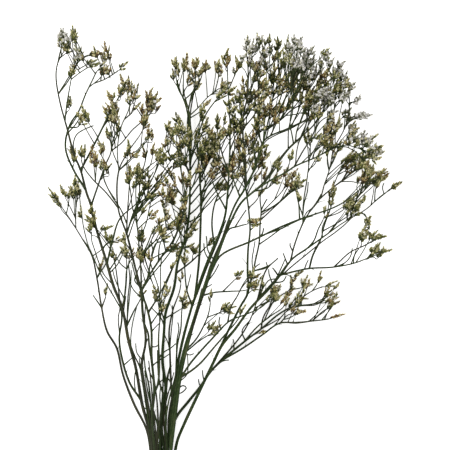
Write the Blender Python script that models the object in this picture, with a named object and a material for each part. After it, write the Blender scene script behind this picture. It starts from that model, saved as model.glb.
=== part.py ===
"""A loose bunch of dried statice, lying down.

Ten cut stems lie side by side at their cut ends and fan out into branches, twigs and
small floret spikes. Each stem is one grown piece and one object. The bunch lies along
+Y with its cut ends towards -Y, and its lowest stems touch the surface at Z = 0.

Routes are laid out on a drawing sheet seen from straight above: columns run to the
right (+X) and rows run down (-Y), SHEET_STEP apart.
"""
import math
import random

import bmesh
import bpy
import numpy as np
from mathutils import Vector

# Driving dimensions, metres
SHEET_STEP = 0.0012
SHEET_CENTRE = (224.2, 278.0)
NECK = (162.0, 452.0)
FAN_LENGTH = 0.396
FAN_REACH = 1.25

TWIG_RADIUS = 0.00058
BRANCH_RADIUS_PER_LENGTH = 0.0042
THICKEST_BRANCH = 0.0011
ROOT_SHARE = 0.42
TIP_SHARE_OF_STEM = 0.42
CURVE_TOLERANCE = 0.0019
STEM_TOLERANCE = 0.0010
CUT_SLANT = 0.7

SPIKE_LENGTH = 0.0170
SPIKE_WAISTS = 4
SPRAY_SHARE = 0.45
FLORET_REACH = 0.0038
FLORET_WAIST = 0.0013
FLORET_LEAN = 0.0016
SPIKE_SWAY = math.radians(24)
TWIG_SPACING = 0.0035
LOWEST_AXIS = 0.0004

STEM_SIDES = 5
TWIG_SIDES = 3
CURVE_STEPS = 8
RANDOM_SEED = 41

STEM_GREEN = (0.045, 0.075, 0.035, 1.0)
FLORET_TAN = (0.37, 0.32, 0.17, 1.0)

# Shares of a layer's depth, of a length or of a full turn
STEM_SWAY = 0.4
SWAY_TURN_PER_POINT = 1.1
BARE_DEVIATION = 0.4
SPRAY_DEVIATION = 0.9
FIRST_DEVIATION = 0.31
GOLDEN_SHARE = 0.618034
ACROSS_STEP = 0.7549
DOWN_STEP = 0.5698
SHORTEST_STALK_SHARE = 0.3
THICKEST_SHARE_OF_PARENT = 0.85
SPIKE_TAPER = 0.35
TWIG_BEND = 0.1
ACUTE_SHARE = 0.7
MERGE_DISTANCE = 5e-7

# Each stem: radius at the cut end, height of its axis in the neck, height of the middle of
# its crown, half the depth of its crown (all metres), then sheet routes. A branch starts on
# what carries it and ends in a floret spike. A bare twig ends plainly. A spray is
# (column, row, width, height, spikes).
STEMS = {
    "stem_1": {
        "radius": 0.0013,
        "neck": 0.0012,
        "crown": 0.0065,
        "half_depth": 0.008,
        "route": [(155, 520), (152, 470), (147, 431), (134, 404), (123, 375), (116.7, 348),
                  (107, 331), (101.6, 307), (97, 278), (92, 256), (83, 240), (67, 214.6),
                  (48, 188)],
        "branches": [
            [(92, 254), (86.6, 240), (83, 224), (81, 205)],
            [(75, 228), (76, 211), (77, 198), (75, 183)],
            [(67, 214.6), (69, 203), (70, 190)],
            [(97, 278), (101, 269), (104, 258)],
            [(101.6, 307), (106, 296), (108, 283)],
        ],
        "bare": [[(101.6, 307), (93, 295)]],
        "sprays": [(79, 190, 12, 18, 4), (66, 196, 12, 10, 3), (57, 199, 6, 6, 1)],
    },
    "stem_2": {
        "radius": 0.0018,
        "neck": 0.0053,
        "crown": 0.032,
        "half_depth": 0.009,
        "route": [(158, 523), (152, 470), (149, 430), (142.4, 405), (136, 368), (128.7, 340),
                  (122.7, 309), (113.5, 285), (106, 259), (97, 230), (91.5, 206), (87, 193),
                  (81, 170), (74.6, 155), (68, 130), (60.5, 102.5), (56.6, 78), (58, 65),
                  (64, 53), (79, 33)],
        "branches": [
            [(141, 401), (130, 383), (121.6, 355.5), (119.5, 338), (122, 318), (120, 300),
             (117, 275), (113, 248)],
            [(127.6, 326), (134, 311), (141, 298), (144, 285)],
            [(108, 264), (113, 240), (120, 219), (137, 203), (145, 189)],
            [(91.9, 207), (98.6, 185), (106, 164.6), (111.6, 150), (107, 128)],
            [(111.6, 152), (122, 143), (132, 131), (147, 116), (152, 94)],
            [(111.6, 150), (118, 134), (120, 120)],
            [(140.5, 121.5), (143.4, 104)],
            [(86, 190), (74, 170), (66, 148), (70, 126), (79.6, 111), (86, 95), (93, 80.6),
             (98, 71), (107, 62)],
            [(90, 87), (100, 79), (109, 66)],
            [(94, 84), (105, 80), (119, 71), (129, 62)],
            [(81, 170), (91.5, 151), (102, 130), (110, 113), (120, 96), (127, 81)],
            [(60.5, 95), (70, 76), (77, 64), (82, 48)],
            [(77, 63), (87, 57), (102, 54)],
            [(67, 121), (67.5, 104), (71, 83.5), (74, 66)],
            [(72, 81), (80, 73.6), (89, 68), (101, 63)],
            [(70, 128), (79, 127), (86, 115)],
            [(96, 228), (92, 216), (93, 204)],
            [(81, 172), (85, 160), (86, 145)],
            [(123, 309), (125.5, 292), (127, 266), (125, 245)],
            [(127, 324), (128, 300), (130, 278), (129, 262), (134, 247)],
        ],
        "bare": [[(125, 366), (133, 357)]],
        "sprays": [(67, 41, 12, 12, 3), (76, 39, 12, 8, 2), (81, 57, 10, 14, 2), (70, 103, 5, 14, 1),
                   (109, 56, 9, 16, 3), (87, 117, 14, 10, 3), (153, 104, 12, 20, 4),
                   (126, 90, 12, 20, 4), (103, 150, 10, 12, 2), (92, 228, 8, 18, 2),
                   (113, 106, 9, 20, 3), (111, 242, 12, 10, 2), (109, 72, 7, 8, 1)],
    },
    "stem_3": {
        "radius": 0.0015,
        "neck": 0.0094,
        "crown": 0.058,
        "half_depth": 0.010,
        "route": [(159, 525), (154, 470), (150.5, 420), (144, 382), (142, 364), (146, 340),
                  (143, 312.6), (141.5, 292), (135, 265), (127.5, 235), (118.6, 208),
                  (119.4, 171), (129.6, 151), (143, 131), (147, 112)],
        "branches": [
            [(118, 208), (106, 192), (93, 179), (83, 164), (82, 146)],
            [(97, 182), (97, 170), (99, 156)],
            [(127, 235), (137, 207), (150, 195), (165, 180), (181, 160)],
            [(140, 204), (140, 190), (140, 172)],
            [(148, 197), (149, 184), (149, 168)],
            [(127.5, 233), (128, 212), (129.5, 190), (131, 166)],
            [(127, 156), (136, 152), (145, 142), (153, 132)],
            [(119.4, 171), (118, 150), (122, 127), (129, 111), (134, 90)],
            [(125, 119), (133, 113), (141, 103)],
            [(119, 165), (113, 150), (112, 128), (114, 112)],
            [(131, 250), (127, 244), (124, 232)],
        ],
        "bare": [],
        "sprays": [(96, 158, 12, 12, 2), (144, 175, 12, 12, 2), (135, 97, 12, 20, 4),
                   (152, 136, 10, 10, 2), (146, 124, 8, 8, 2), (116, 118, 8, 16, 2),
                   (127, 248, 8, 9, 1), (130, 147, 8, 10, 1), (131, 172, 5, 9, 1)],
    },
    "stem_4": {
        "radius": 0.0014,
        "neck": 0.0135,
        "crown": 0.083,
        "half_depth": 0.0105,
        "route": [(161, 520), (157, 470), (152.5, 418), (154.5, 390), (152, 357), (151.6, 328),
                  (147, 306), (142.5, 292), (147, 280), (161, 258), (173, 241), (182, 220),
                  (185, 195), (181, 170), (178, 150), (176, 124)],
        "branches": [
            [(149, 312), (160, 294), (171, 271), (178, 258)],
            [(180, 168), (188, 152), (192, 132)],
            [(184, 200), (176, 186), (168, 168)],
            [(184, 205), (193, 186), (200, 164)],
            [(158, 262), (160, 246), (166, 229)],
            [(152, 366), (149.5, 345), (148.5, 333), (144.5, 322), (142, 300), (141.5, 272),
             (139.5, 245), (137.5, 225), (133, 207), (131, 190), (127, 172)],
            [(154.5, 393), (158, 384), (159.5, 365), (158.8, 340), (160, 322), (164, 300)],
            [(149, 277), (152, 258), (157, 243), (166, 229), (178, 220)],
            [(161, 258), (167, 252), (180, 249)],
            [(138, 230), (147, 221), (159, 211)],
        ],
        "bare": [[(153.7, 366), (159.4, 359), (161, 354)], [(152, 323), (156.5, 316), (160, 311)]],
        "sprays": [(157, 296, 6, 12, 2), (168, 293, 9, 12, 2), (172, 140, 12, 26, 5),
                   (186, 140, 12, 24, 5), (200, 150, 10, 18, 3), (162, 160, 9, 10, 2),
                   (168, 216, 14, 12, 3)],
    },
    "stem_5": {
        "radius": 0.0017,
        "neck": 0.0013,
        "crown": 0.012,
        "half_depth": 0.012,
        "route": [(163, 522), (161.5, 470), (161, 420), (165.7, 389), (162.5, 361), (164, 332),
                  (165.7, 312.6), (174, 288), (177.7, 263), (184.8, 240), (189, 215),
                  (190, 190), (190, 150), (189.3, 114), (186, 103), (178, 88), (175, 58)],
        "branches": [
            [(185, 97), (183.3, 86), (184, 59)],
            [(188.6, 108), (194, 90.5), (196, 70), (196, 57)],
            [(192, 94), (199, 84), (206, 62)],
            [(190, 117), (199, 107), (207, 98), (220, 88), (231, 82)],
            [(213, 91), (218, 80), (219, 62)],
            [(177, 274), (192, 261), (205, 248), (216, 237)],
            [(165.7, 318), (180, 309.5), (192, 301)],
            [(189.5, 150), (180, 134), (178, 116)],
            [(190, 160), (199, 140), (208, 122)],
            [(189, 118), (200, 112), (211, 100)],
        ],
        "bare": [[(164.6, 326), (161, 318), (152, 308)]],
        "sprays": [(178, 72, 10, 20, 4), (187, 70, 8, 22, 3), (201, 73, 18, 20, 5),
                   (225, 89, 14, 9, 3), (220, 72, 11, 14, 3), (180, 126, 12, 16, 3),
                   (206, 124, 14, 18, 3), (196, 250, 8, 7, 1), (217, 125, 6, 14, 1)],
    },
    "stem_6": {
        "radius": 0.0016,
        "neck": 0.0094,
        "crown": 0.050,
        "half_depth": 0.010,
        "route": [(167, 524), (166.5, 470), (170, 425), (176, 375), (182, 343.5), (189.7, 314),
                  (199.6, 283), (210, 255), (219, 234), (225, 216), (227.5, 195), (229, 172),
                  (230, 140), (229.5, 112), (228, 88), (227, 52)],
        "branches": [
            [(195, 297), (199, 262), (200.5, 230), (201, 200), (199, 165), (198, 140),
             (205, 117), (215, 102), (226, 90)],
            [(199, 140), (200, 122), (205, 105)],
            [(215, 103), (227, 96), (237, 87)],
            [(228, 92), (233, 80), (240, 64)],
            [(192, 305), (187, 290), (185, 270), (184, 252)],
            [(229, 172), (219, 158), (214, 140)],
            [(228, 190), (238, 170), (243, 150)],
            [(226, 210), (214, 186), (210, 168)],
            [(173, 402), (171, 380), (170, 350), (169.3, 331), (173, 310), (180, 290), (182, 270)],
            [(176, 376), (177.5, 345), (181, 328), (182, 310), (185, 290)],
            [(214, 246), (212, 222), (216, 200), (226, 184), (242, 172)],
            [(201, 208), (206, 190), (216, 176), (231, 163)],
        ],
        "bare": [],
        "sprays": [(228, 64, 7, 18, 2), (239, 67, 9, 7, 2), (214, 142, 16, 20, 5),
                   (228, 132, 14, 28, 5), (240, 156, 14, 18, 4), (205, 163, 10, 14, 2)],
    },
    "stem_7": {
        "radius": 0.0016,
        "neck": 0.0135,
        "crown": 0.073,
        "half_depth": 0.010,
        "route": [(168, 521), (169.5, 470), (173, 418), (179, 372), (186, 343), (193, 322),
                  (203, 290), (214, 258), (222, 240), (228, 222), (236, 203), (246, 187),
                  (256, 165), (262, 146), (266, 130), (270, 112), (272.5, 96), (270, 78),
                  (269, 34)],
        "branches": [
            [(272.5, 97), (278, 80), (278, 58), (277, 38)],
            [(246, 187), (245, 165), (243, 140), (243, 118), (247, 98), (248, 75), (245, 42)],
            [(256, 166), (264, 141), (288, 129), (310, 118), (325, 105), (335, 88)],
            [(266, 131), (280, 121), (291, 111), (303, 103), (310, 86)],
            [(244, 130), (256, 112), (258, 92), (256, 64)],
            [(189, 352), (196, 339), (207, 318), (210, 306), (211, 289)],
            [(207, 317), (219, 312.5), (236, 306)],
            [(186, 356), (200, 340), (211, 333), (222, 324)],
            [(201, 296), (215, 292), (230, 291), (248, 289), (257, 280)],
            [(223, 291), (230, 284), (244, 270)],
            [(274, 92), (284, 75), (286, 40)],
            [(280, 121), (290, 95), (291, 68)],
            [(256, 165), (262, 150), (268, 146)],
            [(240, 197), (233, 178), (232, 160)],
            [(267, 130), (277, 114), (286, 98), (297, 82)],
            [(290, 128), (299, 108), (303, 88), (304, 66)],
        ],
        "bare": [[(239, 290), (243, 284), (251, 272)]],
        "sprays": [(249, 56, 10, 30, 5), (241, 110, 12, 18, 3), (252, 108, 12, 20, 3),
                   (274, 114, 18, 18, 5), (269, 52, 7, 22, 3), (279, 56, 9, 20, 3),
                   (289, 54, 9, 26, 3), (261, 158, 18, 22, 5), (245, 140, 12, 18, 3),
                   (262, 76, 12, 30, 5), (214, 330, 10, 9, 2), (228, 309, 12, 5, 2),
                   (300, 78, 14, 26, 5), (315, 100, 14, 14, 3), (326, 84, 14, 18, 3),
                   (261, 102, 14, 16, 4), (284, 90, 12, 16, 4), (258, 48, 8, 16, 4),
                   (233, 112, 10, 16, 2)],
    },
    "stem_8": {
        "radius": 0.0016,
        "neck": 0.0176,
        "crown": 0.097,
        "half_depth": 0.012,
        "route": [(165, 520), (169, 470), (175, 420), (181, 375), (189, 340), (197, 312),
                  (207, 282), (217, 257), (224, 238), (232, 219), (241, 203), (252, 193),
                  (268, 182), (285, 173), (294, 167), (315, 158), (333, 149), (346, 146),
                  (358, 149), (372, 142)],
        "branches": [
            [(211, 270), (221, 255), (251, 241), (280, 227), (300, 219), (318, 213),
             (332, 208), (345, 201), (352, 195), (363, 186), (374, 172)],
            [(180, 378), (191, 362), (214, 336), (230, 320), (245, 314), (262, 306),
             (275, 292)],
            [(182, 377), (190, 371), (200, 363), (213, 348), (225, 334), (237, 320), (246, 304)],
            [(252, 193), (264, 182), (275, 165), (288, 149), (300, 138), (312, 127),
             (320, 116), (327, 96)],
            [(287, 150), (288, 130), (292, 112), (291, 90), (294, 64)],
            [(294, 166), (302, 152), (309, 141), (315, 128), (319, 108)],
            [(294, 166), (296, 152), (299, 140), (306, 122), (308, 92), (310, 60)],
            [(320, 155), (330, 132), (333, 110), (332, 70)],
            [(333, 149), (343, 130), (348, 110), (346, 78)],
            [(343, 128), (352, 120), (369, 117)],
            [(341, 146), (348, 136), (358, 129)],
            [(360, 150), (370, 157), (383, 153)],
            [(362, 151), (360, 162), (365, 172)],
            [(226, 319), (231, 306), (237, 296), (241, 288), (248, 279), (254, 267)],
            [(347, 104), (352, 103), (359, 100)],
            [(300, 219), (298, 205), (296, 190)],
        ],
        "bare": [[(222, 328), (219, 322), (220, 316)]],
        "sprays": [(305, 58, 20, 14, 5), (294, 75, 12, 22, 4), (315, 72, 14, 22, 5),
                   (335, 73, 18, 18, 5), (347, 96, 10, 22, 4), (320, 98, 14, 16, 4),
                   (332, 128, 14, 20, 3), (310, 104, 10, 14, 2), (353, 131, 10, 8, 2),
                   (366, 143, 20, 12, 4), (374, 155, 14, 12, 3), (347, 120, 8, 12, 2),
                   (374, 178, 18, 12, 4), (274, 295, 8, 12, 2), (297, 181, 12, 12, 2),
                   (296, 48, 10, 12, 4), (326, 60, 10, 10, 2), (340, 90, 12, 14, 2),
                   (300, 100, 14, 14, 2)],
    },
    "stem_9": {
        "radius": 0.0019,
        "neck": 0.0053,
        "crown": 0.028,
        "half_depth": 0.009,
        "route": [(170, 521), (173, 470), (177, 442), (183.7, 425), (201, 388), (213, 363),
                  (222, 345), (235, 329), (250, 308.5), (269, 288.5), (281, 274), (292, 259),
                  (306, 249), (320, 239), (338, 226), (352, 216), (360, 204)],
        "branches": [
            [(290, 261), (294, 246), (301, 227), (308, 214), (320, 198), (324, 185),
             (329, 170), (331, 160), (333, 142)],
            [(329, 170), (327, 158), (324, 138)],
            [(330, 168), (335, 157), (341, 140)],
            [(319, 199), (332, 188), (345, 178), (357, 168), (367, 152)],
            [(332, 188), (338, 174), (342, 166), (351, 153)],
            [(350, 217), (356, 200), (364, 190), (373, 178)],
            [(346, 220), (366, 209), (382, 195), (402, 183)],
            [(374, 202), (375, 190), (380, 176)],
            [(360, 211), (367, 219), (368, 229), (362, 241)],
            [(281, 275), (308, 268.5), (333, 267), (354, 263), (366, 258.5), (378, 254),
             (392, 250)],
            [(334, 266), (350, 252), (363, 246), (374, 240), (386, 236)],
            [(308, 268), (313, 255), (320, 241), (324, 226), (331, 206), (334, 186)],
            [(368, 258), (373, 250), (378, 243)],
            [(219, 350), (228, 331), (240, 307), (248, 292), (247.5, 272), (248, 250),
             (250, 230), (248.5, 209), (246, 190), (244, 170), (243, 152)],
            [(248, 288), (253, 274), (255, 262), (259, 243), (260, 225), (261, 211),
             (260, 198), (263, 184), (268, 168)],
            [(259, 244), (269, 238), (280, 229)],
            [(261, 220), (280, 202), (290, 193), (299, 184)],
            [(261, 212), (270, 204), (283, 190), (290, 176)],
            [(250, 231), (256, 225), (260, 218)],
            [(256, 303), (261, 292), (262, 276)],
            [(302, 224), (303, 205), (307, 178), (310, 152), (311, 134)],
        ],
        "bare": [[(273, 283), (281, 268), (285, 259)], [(259, 301), (266, 270), (278, 258)]],
        "sprays": [(357, 206, 18, 14, 4), (367, 222, 6, 14, 1), (376, 239, 12, 8, 2),
                   (380, 253, 14, 10, 3), (364, 237, 8, 8, 2), (333, 194, 6, 16, 2),
                   (331, 140, 14, 18, 3), (356, 163, 20, 12, 4), (368, 178, 14, 12, 3),
                   (383, 178, 9, 10, 2), (258, 283, 12, 11, 3), (300, 184, 14, 8, 3),
                   (236, 165, 12, 16, 3), (288, 178, 12, 8, 2), (310, 140, 9, 12, 2),
                   (298, 274, 5, 8, 1)],
    },
    "stem_10": {
        "radius": 0.0015,
        "neck": 0.0012,
        "crown": 0.0065,
        "half_depth": 0.008,
        "route": [(172, 519), (171, 470), (172, 430), (177, 416), (188, 402), (200, 387), (211, 371),
                  (221, 361), (247.6, 339), (261, 329), (279, 314), (292, 307), (317, 303),
                  (328, 296), (339, 283)],
        "branches": [
            [(222, 360), (243, 348), (262, 335), (280, 323), (297, 323), (312, 321),
             (328, 319), (345, 314)],
            [(216, 366), (240, 337), (250, 320), (256, 304), (262, 288)],
            [(244, 342), (258, 326), (272, 315), (284, 306), (286, 292)],
            [(261, 329), (263, 318), (270, 306), (280, 296), (290, 289), (291, 276)],
            [(294, 306), (303, 297), (312, 291), (322, 287), (335, 286)],
            [(312, 291), (317, 284), (321, 270)],
            [(311, 321), (322, 312), (329, 307), (335, 297)],
            [(286, 311), (296, 304), (302, 293)],
            [(280, 323), (288, 315), (306, 311)],
            [(270, 306), (272, 298), (271, 287)],
            [(300, 306), (302, 294), (304, 281)],
        ],
        "bare": [[(245, 341), (242, 331), (250, 320)], [(215, 367), (223, 361), (229, 360)]],
        "sprays": [(334, 305, 8, 12, 2), (329, 296, 12, 9, 3), (331, 284, 12, 5, 1),
                   (308, 285, 12, 8, 3), (294, 281, 8, 7, 1), (275, 298, 7, 11, 2),
                   (290, 293, 6, 9, 1), (287, 305, 8, 12, 3), (301, 302, 18, 10, 4),
                   (296, 314, 14, 5, 2), (335, 317, 12, 4, 1)],
    },
}


def on_sheet(point):
    """Plan position, in metres, of a (column, row) point of the drawing sheet."""
    column, row = point
    return np.array([(column - SHEET_CENTRE[0]) * SHEET_STEP, (SHEET_CENTRE[1] - row) * SHEET_STEP])


NECK_PLAN = on_sheet(NECK)


def fan(plan):
    """How far the bunch has opened at a plan position: 0 in the neck, about 1 in the crown."""
    reach = np.linalg.norm(plan - NECK_PLAN) if plan[1] > NECK_PLAN[1] else 0.0
    return FAN_REACH * math.tanh(reach / FAN_LENGTH)


def layer_height(stem, plan, deviation=0.0):
    """Height of a stem's own layer above a plan position, deviation being -1 to 1 across it."""
    opened = fan(plan)
    middle = stem["neck"] + (stem["crown"] - stem["neck"]) * opened
    return middle + deviation * stem["half_depth"] * opened


def layer_deviation(stem, point):
    """Where a point lies across its stem's layer, -1 to 1."""
    opened = fan(point[:2])
    if opened < 0.05:
        return 0.0
    middle = stem["neck"] + (stem["crown"] - stem["neck"]) * opened
    return max(-1.0, min(1.0, (point[2] - middle) / (stem["half_depth"] * opened)))


def smooth_curve(points):
    """Points of a centripetal Catmull-Rom curve through the given points."""
    points = [np.asarray(p, dtype=float) for p in points]
    padded = [2 * points[0] - points[1]] + points + [2 * points[-1] - points[-2]]
    curve = []
    for i in range(len(points) - 1):
        a, b, c, d = padded[i:i + 4]
        t0 = 0.0
        t1 = t0 + math.sqrt(np.linalg.norm(b - a))
        t2 = t1 + math.sqrt(np.linalg.norm(c - b))
        t3 = t2 + math.sqrt(np.linalg.norm(d - c))
        for t in np.linspace(t1, t2, CURVE_STEPS, endpoint=False):
            ab = (t1 - t) / (t1 - t0) * a + (t - t0) / (t1 - t0) * b
            bc = (t2 - t) / (t2 - t1) * b + (t - t1) / (t2 - t1) * c
            cd = (t3 - t) / (t3 - t2) * c + (t - t2) / (t3 - t2) * d
            abc = (t2 - t) / (t2 - t0) * ab + (t - t0) / (t2 - t0) * bc
            bcd = (t3 - t) / (t3 - t1) * bc + (t - t1) / (t3 - t1) * cd
            curve.append((t2 - t) / (t2 - t1) * abc + (t - t1) / (t2 - t1) * bcd)
    curve.append(points[-1])
    return np.array(curve)


def simplified(curve, tolerance):
    """The fewest of a curve's points that keep its shape within the tolerance."""
    if len(curve) < 3:
        return curve
    start, end = curve[0], curve[-1]
    along = (end - start) / max(np.linalg.norm(end - start), 1e-9)
    offsets = curve - start
    away = np.linalg.norm(offsets - np.outer(offsets @ along, along), axis=1)
    worst = int(np.argmax(away))
    if away[worst] <= tolerance:
        return np.array([start, end])
    before = simplified(curve[:worst + 1], tolerance)
    after = simplified(curve[worst:], tolerance)
    return np.vstack([before[:-1], after])


def run_lengths(curve):
    """Distance along a curve at each of its points."""
    steps = np.linalg.norm(np.diff(curve, axis=0), axis=1)
    return np.concatenate([[0.0], np.cumsum(steps)])


def cut_curve(curve, distance):
    """A curve's two parts on each side of a distance along it."""
    runs = run_lengths(curve)
    split = np.array([np.interp(distance, runs, curve[:, k]) for k in range(3)])
    before = np.vstack([curve[runs < distance - 1e-6], split])
    after = np.vstack([split, curve[runs > distance + 1e-6]])
    return before, after


def spike_axis(after, waists):
    """Evenly spaced points along a spike's part of a curve."""
    runs = run_lengths(after)
    wanted = np.linspace(0.0, runs[-1], waists + 2)
    return np.array([[np.interp(w, runs, after[:, k]) for k in range(3)] for w in wanted])


def nearest_on(axes, plan):
    """The nearest point to a plan position on any of the axes: the point, its axis and place."""
    best = (math.inf, None, 0, 0.0)
    for index, (points, radii) in enumerate(axes):
        starts, spans = points[:-1], np.diff(points, axis=0)
        shares = ((plan - starts[:, :2]) * spans[:, :2]).sum(axis=1)
        shares = np.clip(shares / np.maximum((spans[:, :2] ** 2).sum(axis=1), 1e-12), 0.0, 1.0)
        feet = starts + spans * shares[:, None]
        gaps = np.linalg.norm(feet[:, :2] - plan, axis=1)
        k = int(np.argmin(gaps))
        if gaps[k] < best[0] - 1e-6:
            radius = radii[k] + (radii[k + 1] - radii[k]) * shares[k]
            best = (gaps[k], feet[k], index, radius)
    return best


def ring(centre, along, radii):
    """Corners of one cross-section, held up off the surface at Z = 0."""
    side = np.cross(along, (0.0, 0.0, 1.0))
    side /= max(np.linalg.norm(side), 1e-9)
    up = np.cross(side, along)
    corners = []
    for k, radius in enumerate(radii):
        angle = math.pi / 2 + math.tau * k / len(radii)
        corner = centre + radius * (math.cos(angle) * side + math.sin(angle) * up)
        corner[2] = max(corner[2], 0.0)
        corners.append(corner)
    return corners


def directions(points):
    """Unit direction of a curve at each of its points."""
    steps = np.gradient(points, axis=0)
    return steps / np.maximum(np.linalg.norm(steps, axis=1, keepdims=True), 1e-9)


def lofted(name, rings, florets_from, closed_tip):
    """A closed mesh object through rings of corners, with an end point in place of a last face."""
    mesh = bpy.data.meshes.new(name)
    shape = bmesh.new()
    loops = [[shape.verts.new(Vector(corner)) for corner in corners] for corners in rings]
    sides = len(loops[0])
    shape.faces.new(loops[0])
    for row in range(len(loops) - 1):
        for k in range(sides):
            after = (k + 1) % sides
            lower, upper = loops[row], loops[row + 1]
            low = shape.faces.new((lower[k], upper[k], lower[after]))
            high = shape.faces.new((upper[k], upper[after], lower[after]))
            low.material_index = high.material_index = int(row >= florets_from)
    if closed_tip is None:
        shape.faces.new(loops[-1][::-1])
    else:
        tip = shape.verts.new(Vector(closed_tip))
        for k in range(sides):
            face = shape.faces.new((loops[-1][k], tip, loops[-1][(k + 1) % sides]))
            face.material_index = 1
    bmesh.ops.recalc_face_normals(shape, faces=shape.faces)
    shape.to_mesh(mesh)
    shape.free()
    loft = bpy.data.objects.new(name, mesh)
    bpy.context.scene.collection.objects.link(loft)
    return loft


def stalk_rings(points, radii, sides):
    """Plain round cross-sections along a stalk."""
    return [ring(p, d, [r] * sides) for p, d, r in zip(points, directions(points), radii)]


def spike_rings(points, sides):
    """Cross-sections of a floret spike: one corner in turn stands out as a floret."""
    rings = []
    along = directions(points)
    for k in range(1, len(points) - 1):
        taper = 1.0 - SPIKE_TAPER * (k - 1) / (len(points) - 2)
        radii = [FLORET_WAIST] * sides
        radii[k % sides] = FLORET_REACH * taper
        corners = ring(points[k], along[k], radii)
        corners[k % sides] = corners[k % sides] + along[k] * FLORET_LEAN
        corners[k % sides][2] = max(corners[k % sides][2], 0.0)
        rings.append(corners)
    return rings


def raised(points, lowest):
    """Points lifted so that none is nearer the surface than the lowest height."""
    points = points.copy()
    points[:, 2] = np.maximum(points[:, 2], lowest)
    return points


def main_stem(name, stem):
    """The main stem as one tapered stalk that ends in a spike, and its axis and radii."""
    route = []
    for k, point in enumerate(stem["route"]):
        plan = on_sheet(point)
        sway = STEM_SWAY * math.sin(SWAY_TURN_PER_POINT * k)
        route.append(np.append(plan, layer_height(stem, plan, sway)))
    curve = raised(smooth_curve(route), LOWEST_AXIS)
    before, after = cut_curve(curve, run_lengths(curve)[-1] - SPIKE_LENGTH)
    points = simplified(before, STEM_TOLERANCE)
    shares = run_lengths(points) / run_lengths(points)[-1]
    radii = stem["radius"] * (1.0 - (1.0 - TIP_SHARE_OF_STEM) * shares)
    rings = stalk_rings(points, radii, STEM_SIDES)
    rings[0] = [corner + np.array([0.0, CUT_SLANT * (corner[0] - points[0][0]), 0.0])
                for corner in rings[0]]
    stalk_count = len(rings)
    axis = spike_axis(after, SPIKE_WAISTS)
    rings += spike_rings(axis, STEM_SIDES)
    return lofted(name, rings, stalk_count, axis[-1]), (points, radii)


def branch_route(stem, axes, points, deviation):
    """A branch's route in space, from the axis that carries it to its own tip."""
    plans = [on_sheet(p) for p in points]
    _, foot, _, parent_radius = nearest_on(axes, plans[0])
    plans[0] = foot[:2]
    runs = run_lengths(np.array(plans))
    start = layer_deviation(stem, foot)
    route = [foot]
    for plan, run in zip(plans[1:], runs[1:]):
        share = math.sin(0.5 * math.pi * run / runs[-1])
        across = start + (deviation - start) * share
        route.append(np.append(plan, layer_height(stem, plan, across)))
    return route, parent_radius


def branch(name, route, parent_radius, spiked):
    """A branch or twig with a sunk root, ended by a spike or plainly, and its axis and radii."""
    curve = raised(smooth_curve(route), LOWEST_AXIS)
    length = run_lengths(curve)[-1]
    if spiked:
        before, after = cut_curve(curve, max(length - SPIKE_LENGTH, SHORTEST_STALK_SHARE * length))
    else:
        before, after = curve, None
    points = simplified(before, CURVE_TOLERANCE)
    thick = min(TWIG_RADIUS + BRANCH_RADIUS_PER_LENGTH * length, THICKEST_BRANCH,
                THICKEST_SHARE_OF_PARENT * parent_radius)
    thick = max(thick, TWIG_RADIUS)
    shares = run_lengths(points) / run_lengths(points)[-1]
    radii = thick + (TWIG_RADIUS - thick) * shares
    root_radii = radii.copy()
    root_radii[0] = min(radii[0], ROOT_SHARE * parent_radius)
    rings = stalk_rings(points, root_radii, TWIG_SIDES)
    stalk_count = len(rings)
    if not spiked:
        return lofted(name, rings, stalk_count, None), (points, radii)
    axis = spike_axis(after, SPIKE_WAISTS)
    rings += spike_rings(axis, TWIG_SIDES)
    return lofted(name, rings, stalk_count, axis[-1]), (points, radii)


def spray_routes(stem, axes, spray, draw):
    """Routes of a spray's twigs: each leaves the nearest stalk and leans outwards to its place."""
    column, row, width, height, count = spray
    routes = []
    for k in range(max(1, round(SPRAY_SHARE * count))):
        across = (0.5 + ACROSS_STEP * k) % 1.0 - 0.5
        down = (0.5 + DOWN_STEP * k) % 1.0 - 0.5
        plan = on_sheet((column + across * width, row + down * height))
        outward = plan - NECK_PLAN
        turn = math.atan2(outward[1], outward[0]) + draw.uniform(-SPIKE_SWAY, SPIKE_SWAY)
        heading = np.array([math.cos(turn), math.sin(turn)])
        base = plan - heading * 0.5 * SPIKE_LENGTH
        back = base - heading * TWIG_SPACING * (1 + k % 3)
        gap, _, _, _ = nearest_on(axes, back)
        _, foot, _, parent_radius = nearest_on(axes, back - heading * ACUTE_SHARE * gap)
        start = layer_deviation(stem, foot)
        drawn = draw.uniform(-SPRAY_DEVIATION, SPRAY_DEVIATION)
        deviation = max(-1.0, min(1.0, start + drawn))
        tip = plan + heading * 0.5 * SPIKE_LENGTH
        bend = 0.5 * (foot[:2] + base) + heading * TWIG_BEND * SPIKE_LENGTH
        middle = 0.5 * (start + deviation)
        route = [foot, np.append(bend, layer_height(stem, bend, middle)),
                 np.append(base, layer_height(stem, base, deviation)),
                 np.append(tip, layer_height(stem, tip, deviation))]
        routes.append((route, parent_radius))
    return routes


def fused(name, trunk, twigs):
    """The trunk joined to all its twigs in one closed body."""
    holder = bpy.data.collections.new(name + "_twigs")
    bpy.context.scene.collection.children.link(holder)
    for twig in twigs:
        bpy.context.scene.collection.objects.unlink(twig)
        holder.objects.link(twig)
    union = trunk.modifiers.new("union", "BOOLEAN")
    union.operation = "UNION"
    union.operand_type = "COLLECTION"
    union.collection = holder
    union.solver = "MANIFOLD"
    graph = bpy.context.evaluated_depsgraph_get()
    joined = bpy.data.meshes.new_from_object(trunk.evaluated_get(graph))
    trunk.modifiers.remove(union)
    trunk.data = joined
    joined.name = name
    for twig in twigs:
        bpy.data.objects.remove(twig)
    bpy.data.collections.remove(holder)
    tidy_mesh(joined)


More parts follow.
